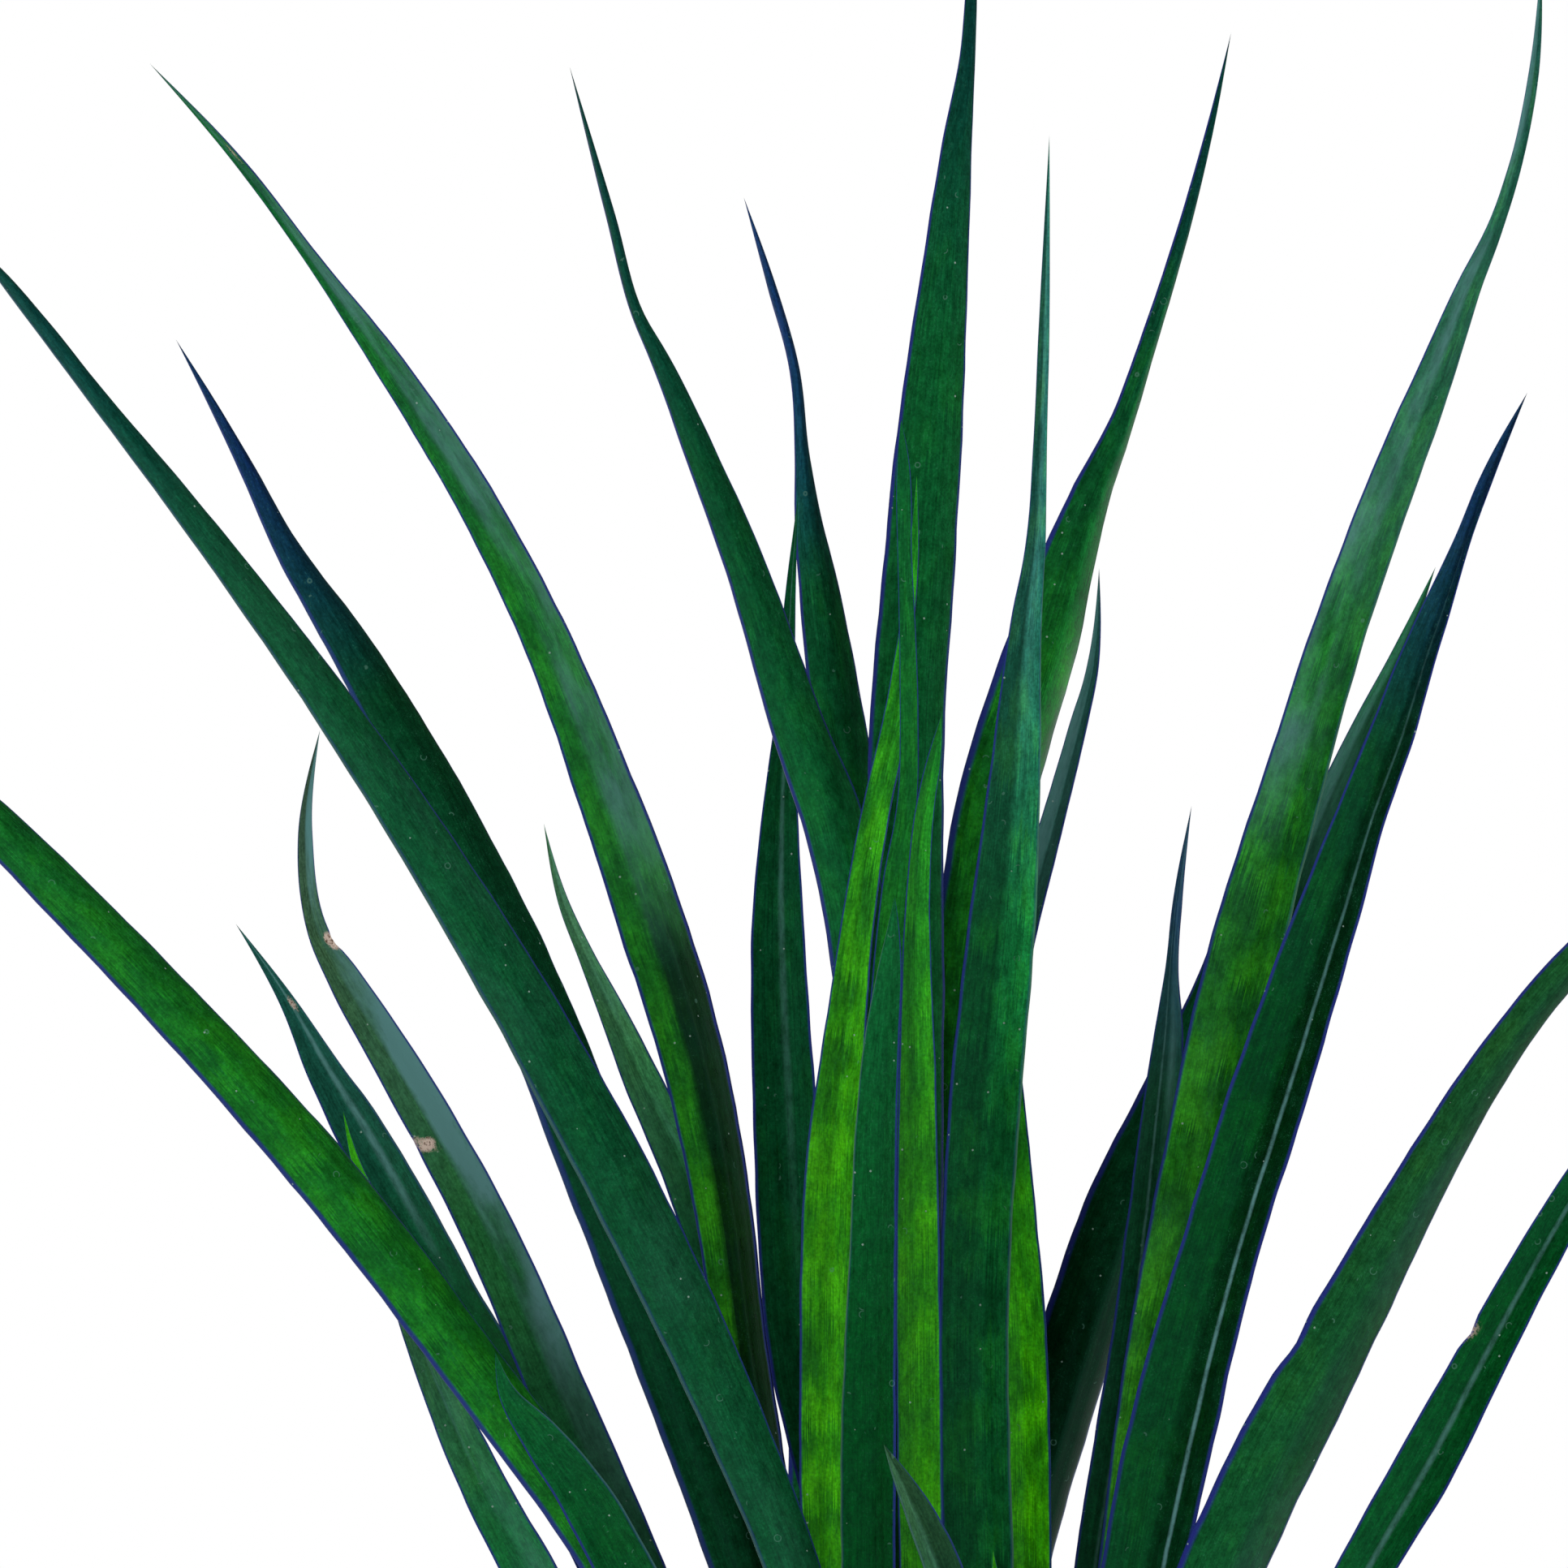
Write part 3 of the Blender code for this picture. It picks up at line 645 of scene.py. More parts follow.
def make_leaf(node, settings, material):
    """One leaf from its CAD node: the blade's fine surface, and what its finish needs to know.

    blade holds the place across and along it, and a number of its own. marks holds how strongly it
    is banded, how much wax and painted sheen it has, how scarred it is and how pale at its foot.
    lights holds its painted highlight streak's strength, how pale its margins are, and the streak's
    place and half width. tint holds its colour, times its gains, which paint light and shade in part."""
    number = int(node.split("_")[1])
    style = LEAF_LOOKS.get(number, PLAIN_LOOK)
    rows, foot_end = leaf_skeleton(node)
    points, places, s, shape = blade_surface(
        rows, settings.stations, settings.sides, style["crease"], number * 100)
    facing_us = np.sign(shape[:, 3].mean())
    to_right = s * facing_us
    right = smooth_step(to_right, style["split"] - SPLIT_BLEND, style["split"] + SPLIT_BLEND)
    # Painted shade: below the low height the gains and the bloom fall, darkening the leaf's lower part.
    low_height, *low_gain, low_bloom = style["low"]
    height = points[..., 2].copy()
    low = smooth_step(height, low_height + LOW_BLEND, low_height - LOW_BLEND)
    # The gains: partly the leaf's own lighter and darker colour, partly painted light and shade on its
    # halves.
    gain = between(style["gain"], right) * between((1.0, between(low_gain, right)), low)
    # Pale wax, with painted sheen on the halves that the rows make bright.
    waxy = between(style["bloom"], right) * between((1.0, low_bloom), low)
    scarred = np.zeros_like(s)
    add_scars(number, points, to_right, scarred)
    # The streak is a painted highlight.
    streak_at, strength, half_width, faded, full = style["streak"]
    streak = strength * smooth_step(points[..., 2], faded, full)
    tint = mixed_shades(settings, style["shades"], places / places[-1])[:, None] * gain[..., None]
    values = {
        "blade": (s * HALF_BLADE, places[:, None], number * PATTERN_SHIFT),
        "marks": (style["band"], waxy, scarred, smooth_step(height, *PALE_FOOT)),
        "lights": (streak, between(style["line"], right), streak_at * facing_us, half_width),
        "tint": (*np.moveaxis(tint, -1, 0), 1.0),
    }
    mesh_parts = closed_tube(foot_end, points, rows[-1, :3])
    piece = new_piece("blade_" + node[-2:], *mesh_parts, material, "leaf", [node])
    for name, columns in values.items():
        kind = "FLOAT_VECTOR" if len(columns) == 3 else "FLOAT_COLOR"
        flat = np.stack([column + 0 * s for column in columns], -1).reshape(-1, len(columns))
        point_attribute(piece.data, name, kind, np.vstack([flat[:1], flat, flat[-1:]]))


# Patterns on a blade: repeats for each metre across it and along it.
VEINS = (2600, 16)
BANDS = (90, 95)
MOTTLES = (420, 240)
DRIFTS = (60, 22)
TEAR = 0.022  # how far the veins tear the bands' edges
DARK_BAND = (0.0016, 0.03, 0.01, 1)
WARM_BAND = (2.6, 1.75, 0.75, 1)
FLECK = (0.12, 0.26, 0.2, 1)
DOT = (0.35, 0.45, 0.4, 1)
DUST = (0.06, 0.24, 0.14, 1)
WOUND_CORE = (0.09, 0.035, 0.018, 1)
GLOSS_TINT = (0.17, 0.9, 0.55, 1)


class BladeNodes(Nodes):
    """A leaf's nodes, with its stored values and the patterns that more than one layer reads."""

    def __init__(self, name):
        super().__init__(name)
        blade = self.make("SeparateXYZ", {0: self.attribute("blade")["Vector"]})
        self.across, self.along, self.number = blade.outputs
        self.side = self.times(self.across, 1 / HALF_BLADE)
        marks, lights = self.attribute("marks"), self.attribute("lights")
        self.banding, self.waxy, self.scarred = self.split(marks["Color"])
        self.streak, self.pale_edge, self.streak_at = self.split(lights["Color"])
        self.pale_foot, self.streak_width = marks["Alpha"], lights["Alpha"]
        self.spot = self.place()
        self.vein = self.on_blade(VEINS, self.along, detail=3)
        self.mottle = self.on_blade(MOTTLES, self.along, detail=4, rough=0.7)
        self.grain = self.noise(self.spot, scale=1500)

    def on_blade(self, scales, along, **settings):
        """Noise that follows the blade, and differs from leaf to leaf."""
        at = self.vector(self.times(self.across, scales[0]), self.times(along, scales[1]), self.number)
        return self.noise(at, **settings)


def banded(n, tint):
    """The leaf's own colour with darker and lighter cross bands, fibres, mottle and grain."""
    torn = n.times(n.math("SUBTRACT", n.vein, 0.5), TEAR)
    band = n.on_blade(BANDS, n.math("ADD", n.along, torn), detail=4, rough=0.62)
    dark = n.times(n.ramp(band, 0.52, 0.34), n.banding)
    light = n.times(n.ramp(band, 0.47, 0.66), n.banding)
    colour = n.mix(n.times(dark, 0.62), tint, DARK_BAND)
    colour = n.mix(n.times(light, 0.85), colour, n.mix(1.0, tint, WARM_BAND, "MULTIPLY"))
    colour = n.shaded(colour, n.vein, 0.25, 0.75, 0.78, 1.25)
    colour = n.shaded(colour, n.mottle, 0.3, 0.72, 0.72, 1.32)
    return n.shaded(colour, n.grain, 0.2, 0.8, 0.75, 1.28)


def waxed(n, colour, settings):
    """A colour under its pale wax and painted sheen, and how thick they are: the wax drifts, and the
    mottle wears it.
    """
    drift = n.on_blade(DRIFTS, n.along, detail=3)
    wax = n.times(n.waxy, n.ramp(drift, 0.28, 0.7), n.ramp(n.mottle, 0.2, 0.7, 0.6, 1.0))
    return n.mix(n.times(wax, 0.66, clamp=True), colour, settings.bloom), wax


def streaked(n, colour, settings):
    """A colour with its painted highlight streak, which fades out past its half width and is broken
    by the mottle.
    """
    off = n.math("DIVIDE", n.math("SUBTRACT", n.side, n.streak_at), n.streak_width)
    inside = n.times(n.streak, n.ramp(n.math("ABSOLUTE", off), 1.6, 0.2))
    broken = n.times(inside, n.ramp(n.mottle, 0.25, 0.65, 0.35, 1.0))
    return n.mix(n.times(broken, 0.55), colour, settings.bloom)


def edged(n, colour, settings):
    """A colour with its violet margin, and with a pale line in its place where the leaf has one."""
    out = n.math("ABSOLUTE", n.side)
    violet = n.times(n.ramp(out, 0.88, 0.955), n.math("SUBTRACT", 0.95, n.pale_edge), clamp=True)
    colour = n.mix(violet, colour, settings.edge)
    return n.mix(n.times(n.ramp(out, 0.93, 0.965), n.pale_edge), colour, settings.margin)


def flecked(n, colour):
    """A colour with broken rings, dots and dust, and how far the rings and dots stand up."""
    distance, chosen = n.some_cells(n.spot, 290.0, 0, 0.86)
    broken = n.math("GREATER_THAN", n.noise(n.spot, scale=420, detail=0), 0.6)
    fleck = n.times(n.math("COMPARE", distance, 0.24, 0.035), chosen, broken)
    colour = n.mix(n.times(fleck, 0.32), colour, FLECK)
    distance, chosen = n.some_cells(n.spot, 520.0, 0, 0.965)
    dot = n.times(n.math("LESS_THAN", distance, 0.14), chosen)
    colour = n.mix(n.times(dot, 0.6), colour, DOT)
    powder = n.ramp(n.noise(n.spot, scale=2300, detail=1), 0.6, 0.7)
    dust = n.times(powder, n.ramp(n.mottle, 0.4, 0.65))
    return n.mix(n.times(dust, 0.16), colour, DUST), n.math("ADD", fleck, dot)


def wounded(n, colour, settings):
    """A colour with its old wounds, and how much of each point they cover."""
    wound = n.mix(n.ramp(n.grain, 0.48, 0.72), settings.scar, WOUND_CORE)
    share = n.ramp(n.times(n.scarred, n.ramp(n.grain, 0.3, 0.6, 0.7, 1.15)), 0.25, 0.6)
    return n.mix(share, colour, wound), share


def leaf_material(settings):
    """Waxy leaf: cross bands with torn edges, fine veins, bloom of wax and painted sheen, a painted
    highlight streak, violet margins, small curved flecks and old scars. Patterns follow the blade by
    its own attribute."""
    n = BladeNodes("leaf_wax")
    colour = banded(n, n.attribute("tint")["Color"])
    colour, wax = waxed(n, colour, settings)
    colour = edged(n, streaked(n, colour, settings), settings)
    colour, raised = flecked(n, colour)
    colour = n.mix(n.times(n.pale_foot, 0.75), colour, settings.foot)
    colour, scar = wounded(n, colour, settings)
    dulled = n.math("ADD", n.times(wax, 0.1), n.times(scar, 0.35))
    rough = n.ramp(n.mottle, 0.3, 0.7, settings.roughness - 0.05, settings.roughness + 0.09)
    ribs = n.bump(n.vein, 0.00007, 0.5)
    pits = n.bump(n.noise(n.spot, scale=900, detail=3), 0.00005, 0.5, ribs)
    return n.finish(
        colour, n.math("ADD", rough, dulled), n.bump(raised, 0.00006, 0.6, pits),
        Specular_IOR_Level=0.24, Specular_Tint=GLOSS_TINT)


class PLANT_OT_leaves(bpy.types.Operator):
    """Make every leaf's fine surface in place of its plain solid"""

    bl_idname = "plant.leaves"
    bl_label = "Make Leaves"

    def execute(self, context):
        settings = context.scene.plant_leaves
        material = leaf_material(settings)
        nodes = sorted(name for name in frame["nodes"] if name.startswith("leaf_"))
        if not nodes:
            raise RuntimeError("the frame holds no leaf nodes")
        for node in nodes:
            make_leaf(node, settings, material)
        return {"FINISHED"}


# ---- pot

POT_SIDES = 192
PROFILE_STEP = 0.0011  # between two points on the profile's straight runs
ARC_POINTS = 9
RECESS = 0.0012
FOOT_RING = 0.008
RECESS_SLOPE = 0.002  # width of the slope from that ring to the hollow
LEDGE_RISE = 0.0016
CORNER_RADII = (0.0006, 0.0006, 0.0022, 0.0012, 0.0022, 0.0026, 0.0026, 0.004)
LINE_GAP = 0.0046
LINES_START = 0.006
LINES_END = 0.004


def rounded_profile(corners, radii):
    """A profile through corners, with an arc of the given radius at each corner and points a step
    apart on the straight runs. An arc starts and ends at radius * tan(turn / 2) from its corner."""
    corners = np.asarray(corners, float)
    t = np.linspace(0, 1, ARC_POINTS)[:, None]
    parts = [corners[:1]]
    for before, corner, after, radius in zip(corners[:-2], corners[1:-1], corners[2:], radii):
        into = unit(corner - before)
        out = unit(after - corner)
        bend = np.arccos(np.clip(into @ out, -1, 1))
        cut = radius * np.tan(bend / 2)
        start = (1 - t) ** 2
        middle = 2 * np.cos(bend / 2) * t * (1 - t)
        end = t**2
        arc = start * (corner - into * cut) + middle * corner + end * (corner + out * cut)
        parts.append(arc / (start + middle + end))
    rough = np.vstack([*parts, corners[-1:]])
    at = distances(rough)
    even = np.arange(0, at[-1], PROFILE_STEP)
    wanted = np.unique(np.concatenate([at, even]).round(7))
    wanted = wanted[np.concatenate([[True], np.diff(wanted) > PROFILE_STEP * 0.2])]
    return np.column_stack([np.interp(wanted, at, rough[:, k]) for k in range(2)])


def make_pot(settings, material):
    """The pot: its profile turned about Z, with faint throwing lines on the outside of the wall:
    the radius swings by a sine of the height, whose depth a slow wave changes."""
    low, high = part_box("pot")
    rim = (high.x - low.x) / 2
    top = high.z
    shoulder = top - settings.collar
    foot = settings.foot_radius

    def inside(height):
        return foot + (settings.neck_radius - foot) * height / shoulder - settings.wall

    corners = (
        (0.0, low.z + RECESS), (foot - FOOT_RING - RECESS_SLOPE, low.z + RECESS),
        (foot - FOOT_RING, low.z), (foot, low.z),
        (settings.neck_radius, shoulder), (rim, shoulder + LEDGE_RISE), (rim, top),
        (inside(top), top), (inside(settings.floor), settings.floor), (0.0, settings.floor),
    )
    profile = rounded_profile(corners, CORNER_RADII)
    radius, height = profile.T
    outside = radius > inside(height) + settings.wall * 0.5
    outside &= (height > LINES_START) & (height < top - LINES_END)
    swing = np.sin(2 * np.pi * height / LINE_GAP) * (0.6 + 0.8 * slow_wave(height, 0.05, 5))
    profile[:, 0] += np.where(outside, settings.ripple * (swing - 1), 0.0)
    under, floor = ((0, 0, profile[k, 1]) for k in (0, -1))
    grid = polar_points(profile[1:-1, :1], profile[1:-1, 1:], POT_SIDES)
    mesh_parts = closed_tube(under, grid, floor)
    new_piece("stoneware_pot", *mesh_parts, material, "pot", ["pot"])


def pot_material(settings):
    """Matt glaze with cloudy tone, iron flecks of two sizes, and a slightly rough skin."""
    n = Nodes("matt_stoneware")
    place = n.place()
    cloud = n.noise(place, scale=14, detail=5, rough=0.6)
    colour = n.mix(n.ramp(cloud, 0.38, 0.68), settings.glaze, settings.shade)
    drag = n.stretched_noise(place, (9, 9, 240), detail=3)
    colour = n.mix(n.ramp(drag, 0.35, 0.75, 0.0, 0.22), colour, settings.shade)
    for scale, size, share in ((260.0, 0.2, 0.72), (700.0, 0.24, 0.86)):
        distance, chosen = n.some_cells(place, scale, 1, share)
        spot = n.times(n.ramp(distance, size, size * 0.6), chosen)
        colour = n.mix(n.times(spot, 0.75), colour, settings.fleck)
    grain = n.noise(place, scale=1300, detail=3)
    colour = n.shaded(colour, grain, 0.25, 0.75, 0.93, 1.05)
    skin = n.bump(grain, 0.00012, 0.6)
    return n.finish(colour, n.ramp(cloud, 0.3, 0.7, 0.46, 0.62), n.bump(cloud, 0.0012, 0.25, skin))


class PLANT_OT_pot(bpy.types.Operator):
    """Make the pot in matt glazed stoneware"""

    bl_idname = "plant.pot"
    bl_label = "Make Pot"

    def execute(self, context):
        settings = context.scene.plant_pot
        make_pot(settings, pot_material(settings))
        return {"FINISHED"}


# ---- soil

SOIL_SIDES = 288
SOIL_RINGS = 92
SOIL_CENTRE = 0.0003  # share of the area inside the innermost ring
WALL_RINGS = 6
SOIL_FOOT = 0.78  # its radius underneath, as a share of its edge's
SOIL_DROP = 0.0032  # how far the middle of its surface lies under the node's top
SOIL_FALL = 0.003  # how much lower its edge is than its middle
SOIL_NOISE = ((0.0011, 0.0125, 31), (0.0009, 0.0048, 32), (0.0005, 0.0021, 33))  # height, cell, seed
MOUND = 0.0018
MOUND_REACH = 1.1  # its reach, as a share of the leaf foot's
FOOT_HEIGHT = 0.03  # how much of a leaf counts as its foot
TRIES = 3  # places drawn for each loose bit
TIP_TURN = 0.35


def soil_shape():
    """The soil's edge radius, its underside's height and its top's, from its node."""
    low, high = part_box("soil")
    return (high.x - low.x) / 2, low.z, high.z


def leaf_feet():
    """Where the leaves leave the soil, as (x, y, reach) rows: the middle and half the diagonal of
    what each leaf covers just above its foot."""
    feet = []
    for name in frame["nodes"]:
        if name.startswith("leaf_"):
            points, _ = merged_mesh(name)
            low = points[points[:, 2] < points[:, 2].min() + FOOT_HEIGHT][:, :2]
            middle = (low.min(0) + low.max(0)) / 2
            feet.append((*middle, np.linalg.norm(np.ptp(low, axis=0)) / 2))
    return np.array(feet)


def soil_height(x, y, feet, edge, top):
    """Height of the soil's surface: a low heap that falls off with the square of the distance from
    the middle, noise of three sizes for clods and crumbs, and a small mound round each leaf."""
    share = np.clip(np.hypot(x, y) / edge, 0, 1)
    height = top - SOIL_DROP - SOIL_FALL * share**2
    for size, cell, seed in SOIL_NOISE:
        height = height + size * value_noise(x, y, cell, seed)
    mound = np.zeros_like(height)
    for foot_x, foot_y, reach in feet:
        apart = (x - foot_x) ** 2 + (y - foot_y) ** 2
        mound = np.maximum(mound, np.exp(-apart / (reach * MOUND_REACH) ** 2))
    return height + MOUND * mound


def make_soil(material):
    """The soil: a polar grid whose height is soil_height, closed down its side and underneath."""
    edge, low, top = soil_shape()
    radius = (edge * np.sqrt(np.linspace(SOIL_CENTRE, 1, SOIL_RINGS)))[:, None]
    surface = polar_points(radius, 0 * radius, SOIL_SIDES)
    surface[..., 2] = soil_height(surface[..., 0], surface[..., 1], leaf_feet(), edge, top)
    down = np.linspace(0, 1, WALL_RINGS + 1)[1:, None]
    side_height = between((surface[-1:, :, 2], low), down)
    wall = polar_points(edge * between((1, SOIL_FOOT), down), side_height, SOIL_SIDES)
    grid = np.concatenate([surface, wall])[::-1]
    mesh_parts = closed_tube((0, 0, low), grid, (0, 0, surface[0, :, 2].mean()))
    new_piece("potting_soil", *mesh_parts, material, "soil", ["soil"])


def pebble():
    """A unit icosahedron: twelve points and twenty faces."""
    far = (1 + 5**0.5) / 2
    points = np.array([
        (-1, far, 0), (1, far, 0), (-1, -far, 0), (1, -far, 0),
        (0, -1, far), (0, 1, far), (0, -1, -far), (0, 1, -far),
        (far, 0, -1), (far, 0, 1), (-far, 0, -1), (-far, 0, 1),
    ])
    faces = np.array([
        (0, 11, 5), (0, 5, 1), (0, 1, 7), (0, 7, 10), (0, 10, 11), (1, 5, 9), (5, 11, 4),
        (11, 10, 2), (10, 7, 6), (7, 1, 8), (3, 9, 4), (3, 4, 2), (3, 2, 6), (3, 6, 8),
        (3, 8, 9), (4, 9, 5), (2, 4, 11), (6, 2, 10), (8, 6, 7), (9, 8, 1),
    ])
    return unit(points), faces


def scatter(name, count, sizes, flatness, seed, material, lift):
    """Loose bits on the soil: each is an icosahedron whose points move in and out by chance, stretched
    to its own three sizes, turned about Z and tipped a little, and set on the soil's surface."""
    draw = np.random.default_rng(seed)
    edge, _, top = soil_shape()
    feet = leaf_feet()
    smallest, largest = sizes
    reach = np.sqrt(draw.uniform(0, 1, count * TRIES)) * (edge - largest * 1.4)
    bearing = draw.uniform(0, 2 * np.pi, count * TRIES)
    x = reach * np.cos(bearing)
    y = reach * np.sin(bearing)
    apart = np.hypot(x[:, None] - feet[:, 0], y[:, None] - feet[:, 1]) - feet[:, 2]
    free = np.flatnonzero(apart.min(axis=1) > largest * 0.3)[:count]
    x, y = x[free], y[free]
    count = len(free)
    shape, faces = pebble()
    long_side = smallest + (largest - smallest) * draw.uniform(0, 1, count) ** 2.2
    broad_side = long_side * draw.uniform(0.45, 0.9, count)
    size = np.stack([long_side, broad_side, long_side * draw.uniform(*flatness, count)], -1)
    local = shape * draw.uniform(0.72, 1.18, (count, len(shape), 1)) * size[:, None]
    spin = draw.uniform(0, 2 * np.pi, count)
    tipped, up = turn(local[..., 0], local[..., 2], draw.normal(0, TIP_TURN, count))
    across, along = turn(tipped, local[..., 1], spin)
    ground = soil_height(x, y, feet, edge, top) + lift * size[:, 2]
    points = np.stack([across + x[:, None], along + y[:, None], up + ground[:, None]], -1)
    all_faces = (faces + len(shape) * np.arange(count)[:, None, None]).reshape(-1, 3)
    piece = new_piece(name, points.reshape(-1, 3), all_faces.tolist(), material, "soil", [])
    tone = np.repeat(draw.uniform(0, 1, count), len(shape))
    point_attribute(piece.data, "tone", "FLOAT", tone)


def soil_material(settings):
    """Damp soil with dry crumbs and fine fibres."""
    n = Nodes("potting_soil")
    place = n.place()
    crumbs = n.noise(place, scale=330, detail=6, rough=0.7)
    clods = n.noise(place, scale=75, detail=3)
    colour = n.mix(n.ramp(crumbs, 0.42, 0.72), settings.damp, settings.dry)
    colour = n.mix(n.ramp(clods, 0.35, 0.7, 0.0, 0.45), colour, settings.damp)
    fine = n.bump(n.noise(place, scale=1100, detail=4, rough=0.7), 0.0006, 0.9)
    rough = n.ramp(clods, 0.3, 0.7, 0.78, 0.97)
    return n.finish(colour, rough, n.bump(crumbs, 0.0016, 0.9, fine), Specular_IOR_Level=0.3)


def bark_material(settings):
    """Bark: fibres that run one way, and a tone of its own on every chip."""
    n = Nodes("bark_chips")
    fibre = n.stretched_noise(n.place(), (900, 260, 900), detail=4)
    tone = n.attribute("tone")["Fac"]
    colour = n.mix(tone, settings.bark, settings.damp)
    colour = n.mix(n.ramp(fibre, 0.5, 0.75, 0.0, 0.5), colour, settings.dry)
    return n.finish(colour, n.ramp(fibre, 0.3, 0.7, 0.72, 0.92), n.bump(fibre, 0.0005, 0.8))


def perlite_material(settings):
    """Perlite: chalky white with small pores."""
    n = Nodes("perlite")
    place = n.place()
    pores = n.cells(place, 1500.0)["Distance"]
    dust = n.noise(place, scale=240, detail=4)
    colour = n.mix(n.ramp(dust, 0.45, 0.75, 0.0, 0.6), settings.perlite, settings.dry)
    colour = n.mix(n.ramp(pores, 0.32, 0.12, 0.0, 0.4), colour, settings.dry)
    return n.finish(colour, n.ramp(dust, 0.3, 0.7, 0.8, 0.95), n.bump(pores, 0.0003, 0.8))


class PLANT_OT_soil(bpy.types.Operator):
    """Make the soil's crumbly surface"""

    bl_idname = "plant.soil"
    bl_label = "Make Soil"

    def execute(self, context):
        make_soil(soil_material(context.scene.plant_soil))
        return {"FINISHED"}


class PLANT_OT_loose_bits(bpy.types.Operator):
    """Scatter bark chips and perlite grains on the soil"""

    bl_idname = "plant.loose_bits"
    bl_label = "Scatter Loose Bits"

    def execute(self, context):
        settings = context.scene.plant_soil
        bark, perlite = bark_material(settings), perlite_material(settings)
        scatter("bark_chips", settings.chips, (0.0008, 0.0046), (0.22, 0.5), 71, bark, 0.35)
        scatter("perlite_grains", settings.grains, (0.0007, 0.0021), (0.7, 1.0), 72, perlite, 0.45)
        return {"FINISHED"}


# ---- stage

FLOOR_SIDES = 96
FLOOR_RINGS = 24
FLOOR_MIDDLE = 0.01
GLOW_REACH = (0.6, 3.8)  # from the plant to where the glow begins, and to where it is full
GLOW_COLOUR = (0.97, 0.98, 1.0, 1)
SKY_COLOUR = (0.93, 0.97, 1.0, 1)
WHITE = (1, 1, 1, 1)
LIGHT_TARGET = (0.0, 0.0, 0.42)
COOL_LIGHT = (0.9, 0.97, 1.0)
WARM_LIGHT = (1, 1, 0.97)
RIGHT_SHARE = 0.8
SENSOR_WIDTH = 36.0
CLIP = (0.1, 100.0)


def floor_material(settings):
    """A pale, slightly uneven floor that glows a little far from the plant, so that it fades into
    the white."""
    n = Nodes("pale_floor")
    place = n.place()
    cloud = n.noise(place, scale=2.2, detail=3)
    colour = n.shaded(settings.floor_colour, cloud, 0.3, 0.7, 0.97, 1.0)
    reach = n.make("VectorMath", {0: place}, operation="LENGTH").outputs["Value"]
    glow = n.ramp(reach, *GLOW_REACH, 0.0, settings.far_glow)
    rough = n.ramp(cloud, 0.3, 0.7, 0.55, 0.7)
    return n.finish(colour, rough, Emission_Color=GLOW_COLOUR, Emission_Strength=glow)


def make_floor(settings):
    """The floor: a flat disc as a polar grid, its radii growing by an even ratio. Its angles run
    backwards, so that its faces look up."""
    radius = settings.floor_radius * np.geomspace(FLOOR_MIDDLE, 1, FLOOR_RINGS)
    grid = polar_points(radius[:, None], 0 * radius[:, None], FLOOR_SIDES)[:, ::-1]
    points = np.vstack([np.zeros(3), grid.reshape(-1, 3)])
    faces = tube_faces(FLOOR_RINGS, FLOOR_SIDES, closed=False)
    floor = smooth_mesh("floor", points, faces, floor_material(settings))


def add_softbox(name, place, size, power, colour):
    """A rectangular area light at a place, turned towards the plant and never mirrored in gloss."""
    light = bpy.data.lights.new(name, "AREA")
    light.shape = "RECTANGLE"
    light.size, light.size_y = size
    light.energy = power
    light.color = colour
    item = new_object(name, light)
    item.location = place
    aim = Vector(LIGHT_TARGET) - Vector(place)
    item.rotation_euler = aim.to_track_quat("-Z", "Y").to_euler()
    item.visible_glossy = False


def make_world(settings):
    """White behind the plant, a dimmer surround for the light that falls on it, and a darker one
    for its gloss to mirror."""
    world = bpy.data.worlds.new("studio")
    world.use_nodes = True
    tree = world.node_tree
    tree.nodes.remove(tree.nodes["Background"])
    path = tree.nodes.new("ShaderNodeLightPath")

    def background(colour, strength):
        node = tree.nodes.new("ShaderNodeBackground")
        node.inputs["Color"].default_value = colour
        node.inputs["Strength"].default_value = strength
        return node.outputs[0]

    def choice(ray, otherwise, chosen):
        node = tree.nodes.new("ShaderNodeMixShader")
        for socket, source in zip(node.inputs, (path.outputs[ray], otherwise, chosen)):
            tree.links.new(source, socket)
        return node.outputs[0]

    surround = background(SKY_COLOUR, settings.surround)
    lit = choice("Is Glossy Ray", surround, background(SKY_COLOUR, settings.mirrored))
    seen = choice("Is Camera Ray", lit, background(WHITE, 1.0))
    tree.links.new(seen, tree.nodes["World Output"].inputs["Surface"])
    bpy.context.scene.world = world


def make_camera(settings):
    """A level camera in front of the plant, far off, so that its lines stay parallel."""
    data = bpy.data.cameras.new("camera")
    data.sensor_width = SENSOR_WIDTH
    data.lens = data.sensor_width * settings.camera_distance / settings.view_width
    data.clip_start, data.clip_end = CLIP
    camera = new_object("camera", data)
    camera.location = (-settings.view_left, -settings.camera_distance, settings.view_height)
    camera.rotation_euler = (np.pi / 2, 0, 0)
    bpy.context.scene.camera = camera


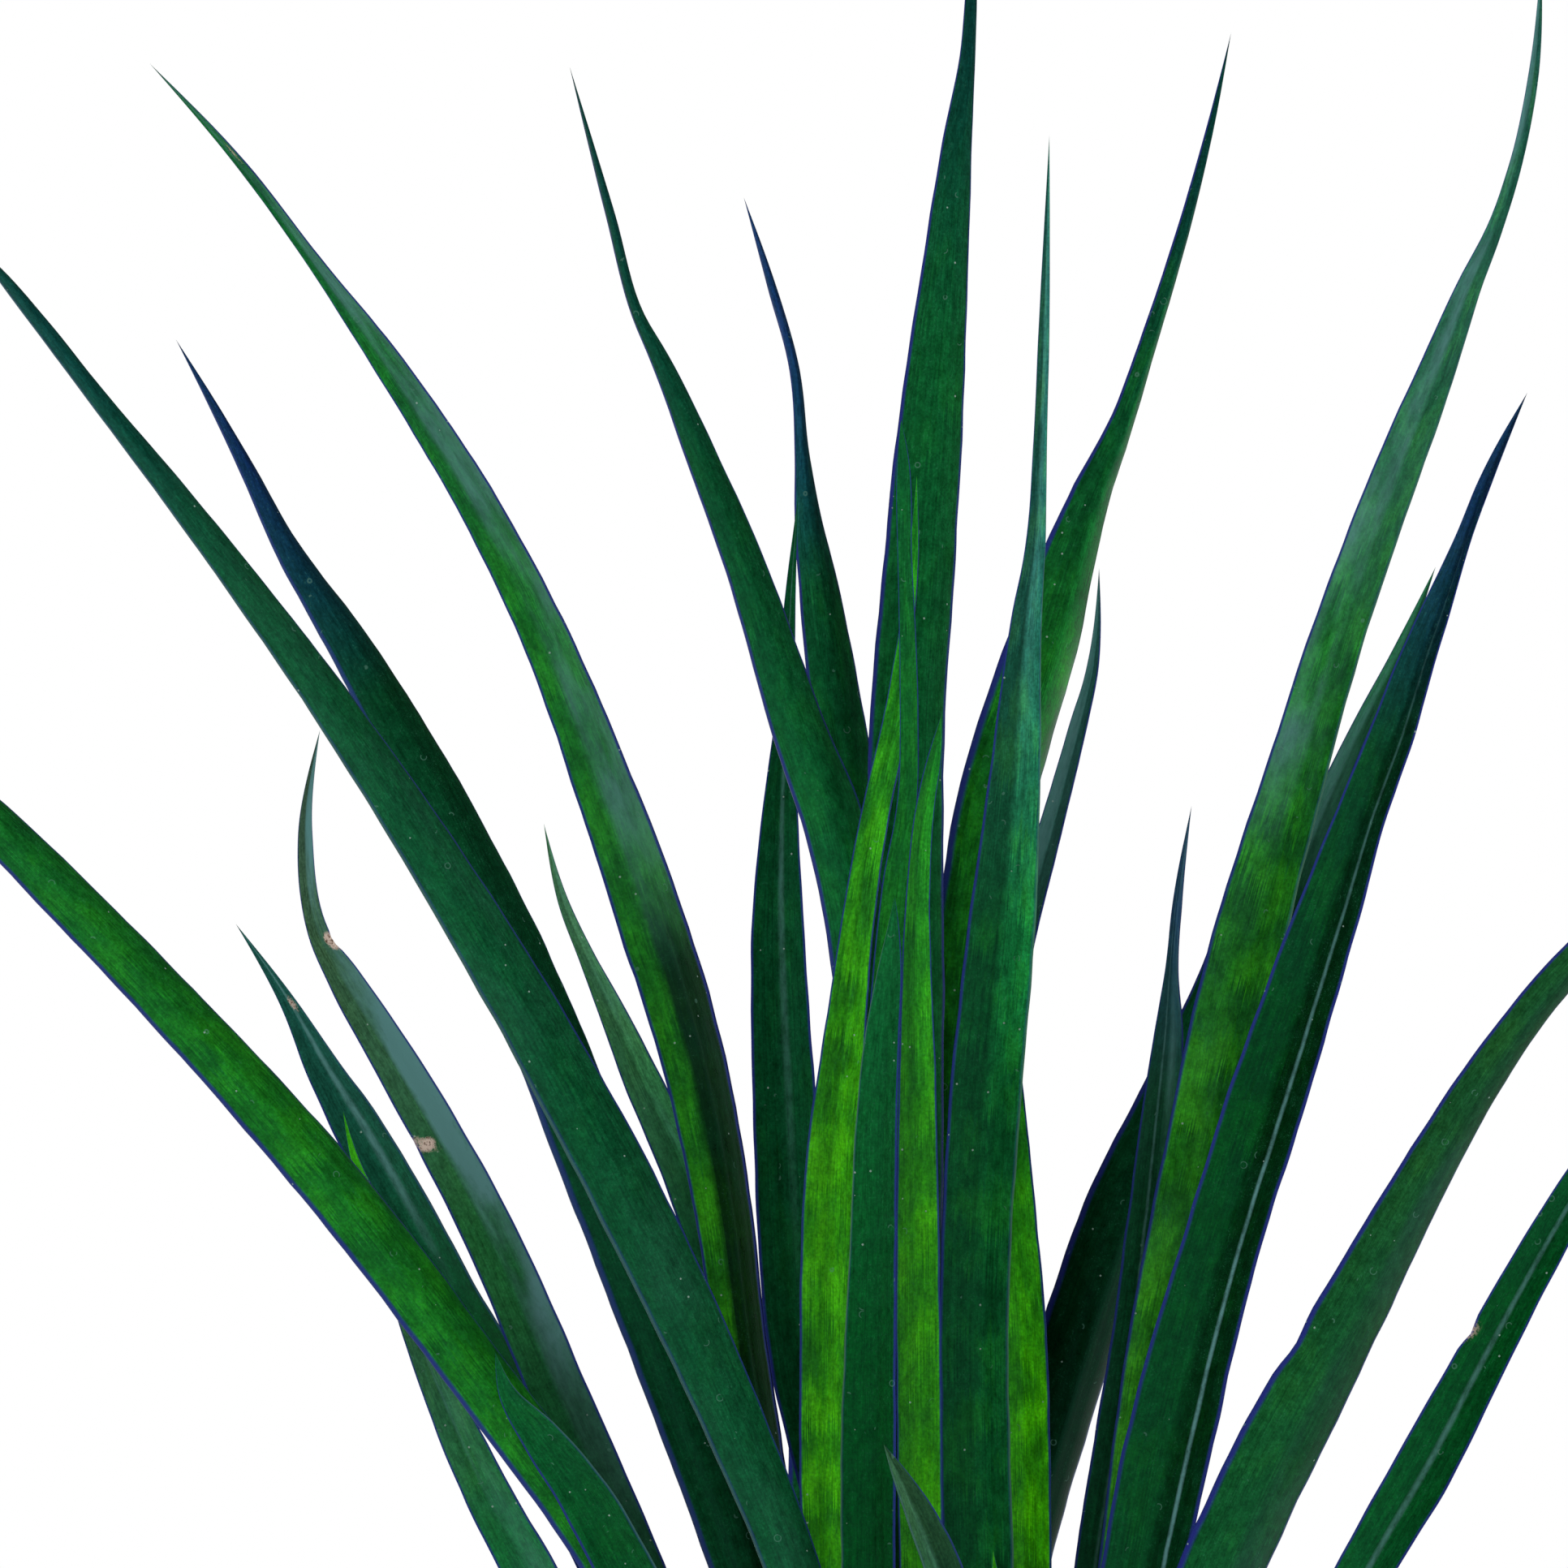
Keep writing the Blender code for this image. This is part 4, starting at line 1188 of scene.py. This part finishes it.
class PLANT_OT_stage(bpy.types.Operator):
    """Make the floor, the lights, the surround and the camera"""

    bl_idname = "plant.stage"
    bl_label = "Make Stage"

    def execute(self, context):
        settings = context.scene.plant_stage
        side, front = settings.side_power, settings.front_power
        make_floor(settings)
        add_softbox("softbox_left", (-2.0, -1.1, 1.3), (0.8, 1.6), side, COOL_LIGHT)
        add_softbox("softbox_right", (2.1, -0.9, 1.2), (0.8, 1.6), side * RIGHT_SHARE, COOL_LIGHT)
        add_softbox("softbox_front", (-0.3, -2.6, 1.9), (1.4, 1.0), front, WARM_LIGHT)
        make_world(settings)
        make_camera(settings)
        context.scene.view_settings.view_transform = "Standard"
        return {"FINISHED"}


# ---- panel and start

class PLANT_PT_panel(bpy.types.Panel):
    """Steps of making the plant, with their settings"""

    bl_idname = "PLANT_PT_panel"
    bl_label = "Potted Snake Plant"
    bl_space_type = "VIEW_3D"
    bl_region_type = "UI"
    bl_category = "Plant"

    def draw(self, context):
        for label, name, _, operators in STEPS:
            box = self.layout.box()
            box.label(text=label)
            settings = getattr(context.scene, name)
            for key in settings.__annotations__:
                box.prop(settings, key)
            for operator in operators:
                box.operator(operator.bl_idname)


STEPS = (
    ("Leaves", "plant_leaves", PLANT_PG_leaves, (PLANT_OT_leaves,)),
    ("Pot", "plant_pot", PLANT_PG_pot, (PLANT_OT_pot,)),
    ("Soil", "plant_soil", PLANT_PG_soil, (PLANT_OT_soil, PLANT_OT_loose_bits)),
    ("Stage", "plant_stage", PLANT_PG_stage, (PLANT_OT_stage,)),
)


def register():
    for _, name, group, operators in STEPS:
        for made in (group, *operators):
            bpy.utils.register_class(made)
        setattr(bpy.types.Scene, name, PointerProperty(type=group))
    bpy.utils.register_class(PLANT_PT_panel)


def unregister():
    bpy.utils.unregister_class(PLANT_PT_panel)
    for _, name, group, operators in reversed(STEPS):
        delattr(bpy.types.Scene, name)
        for made in (*operators, group):
            bpy.utils.unregister_class(made)


def main():
    register()
    bpy.ops.plant.stage()
    bpy.ops.plant.leaves()
    bpy.ops.plant.pot()
    bpy.ops.plant.soil()
    bpy.ops.plant.loose_bits()


if __name__ == "__main__":
    main()
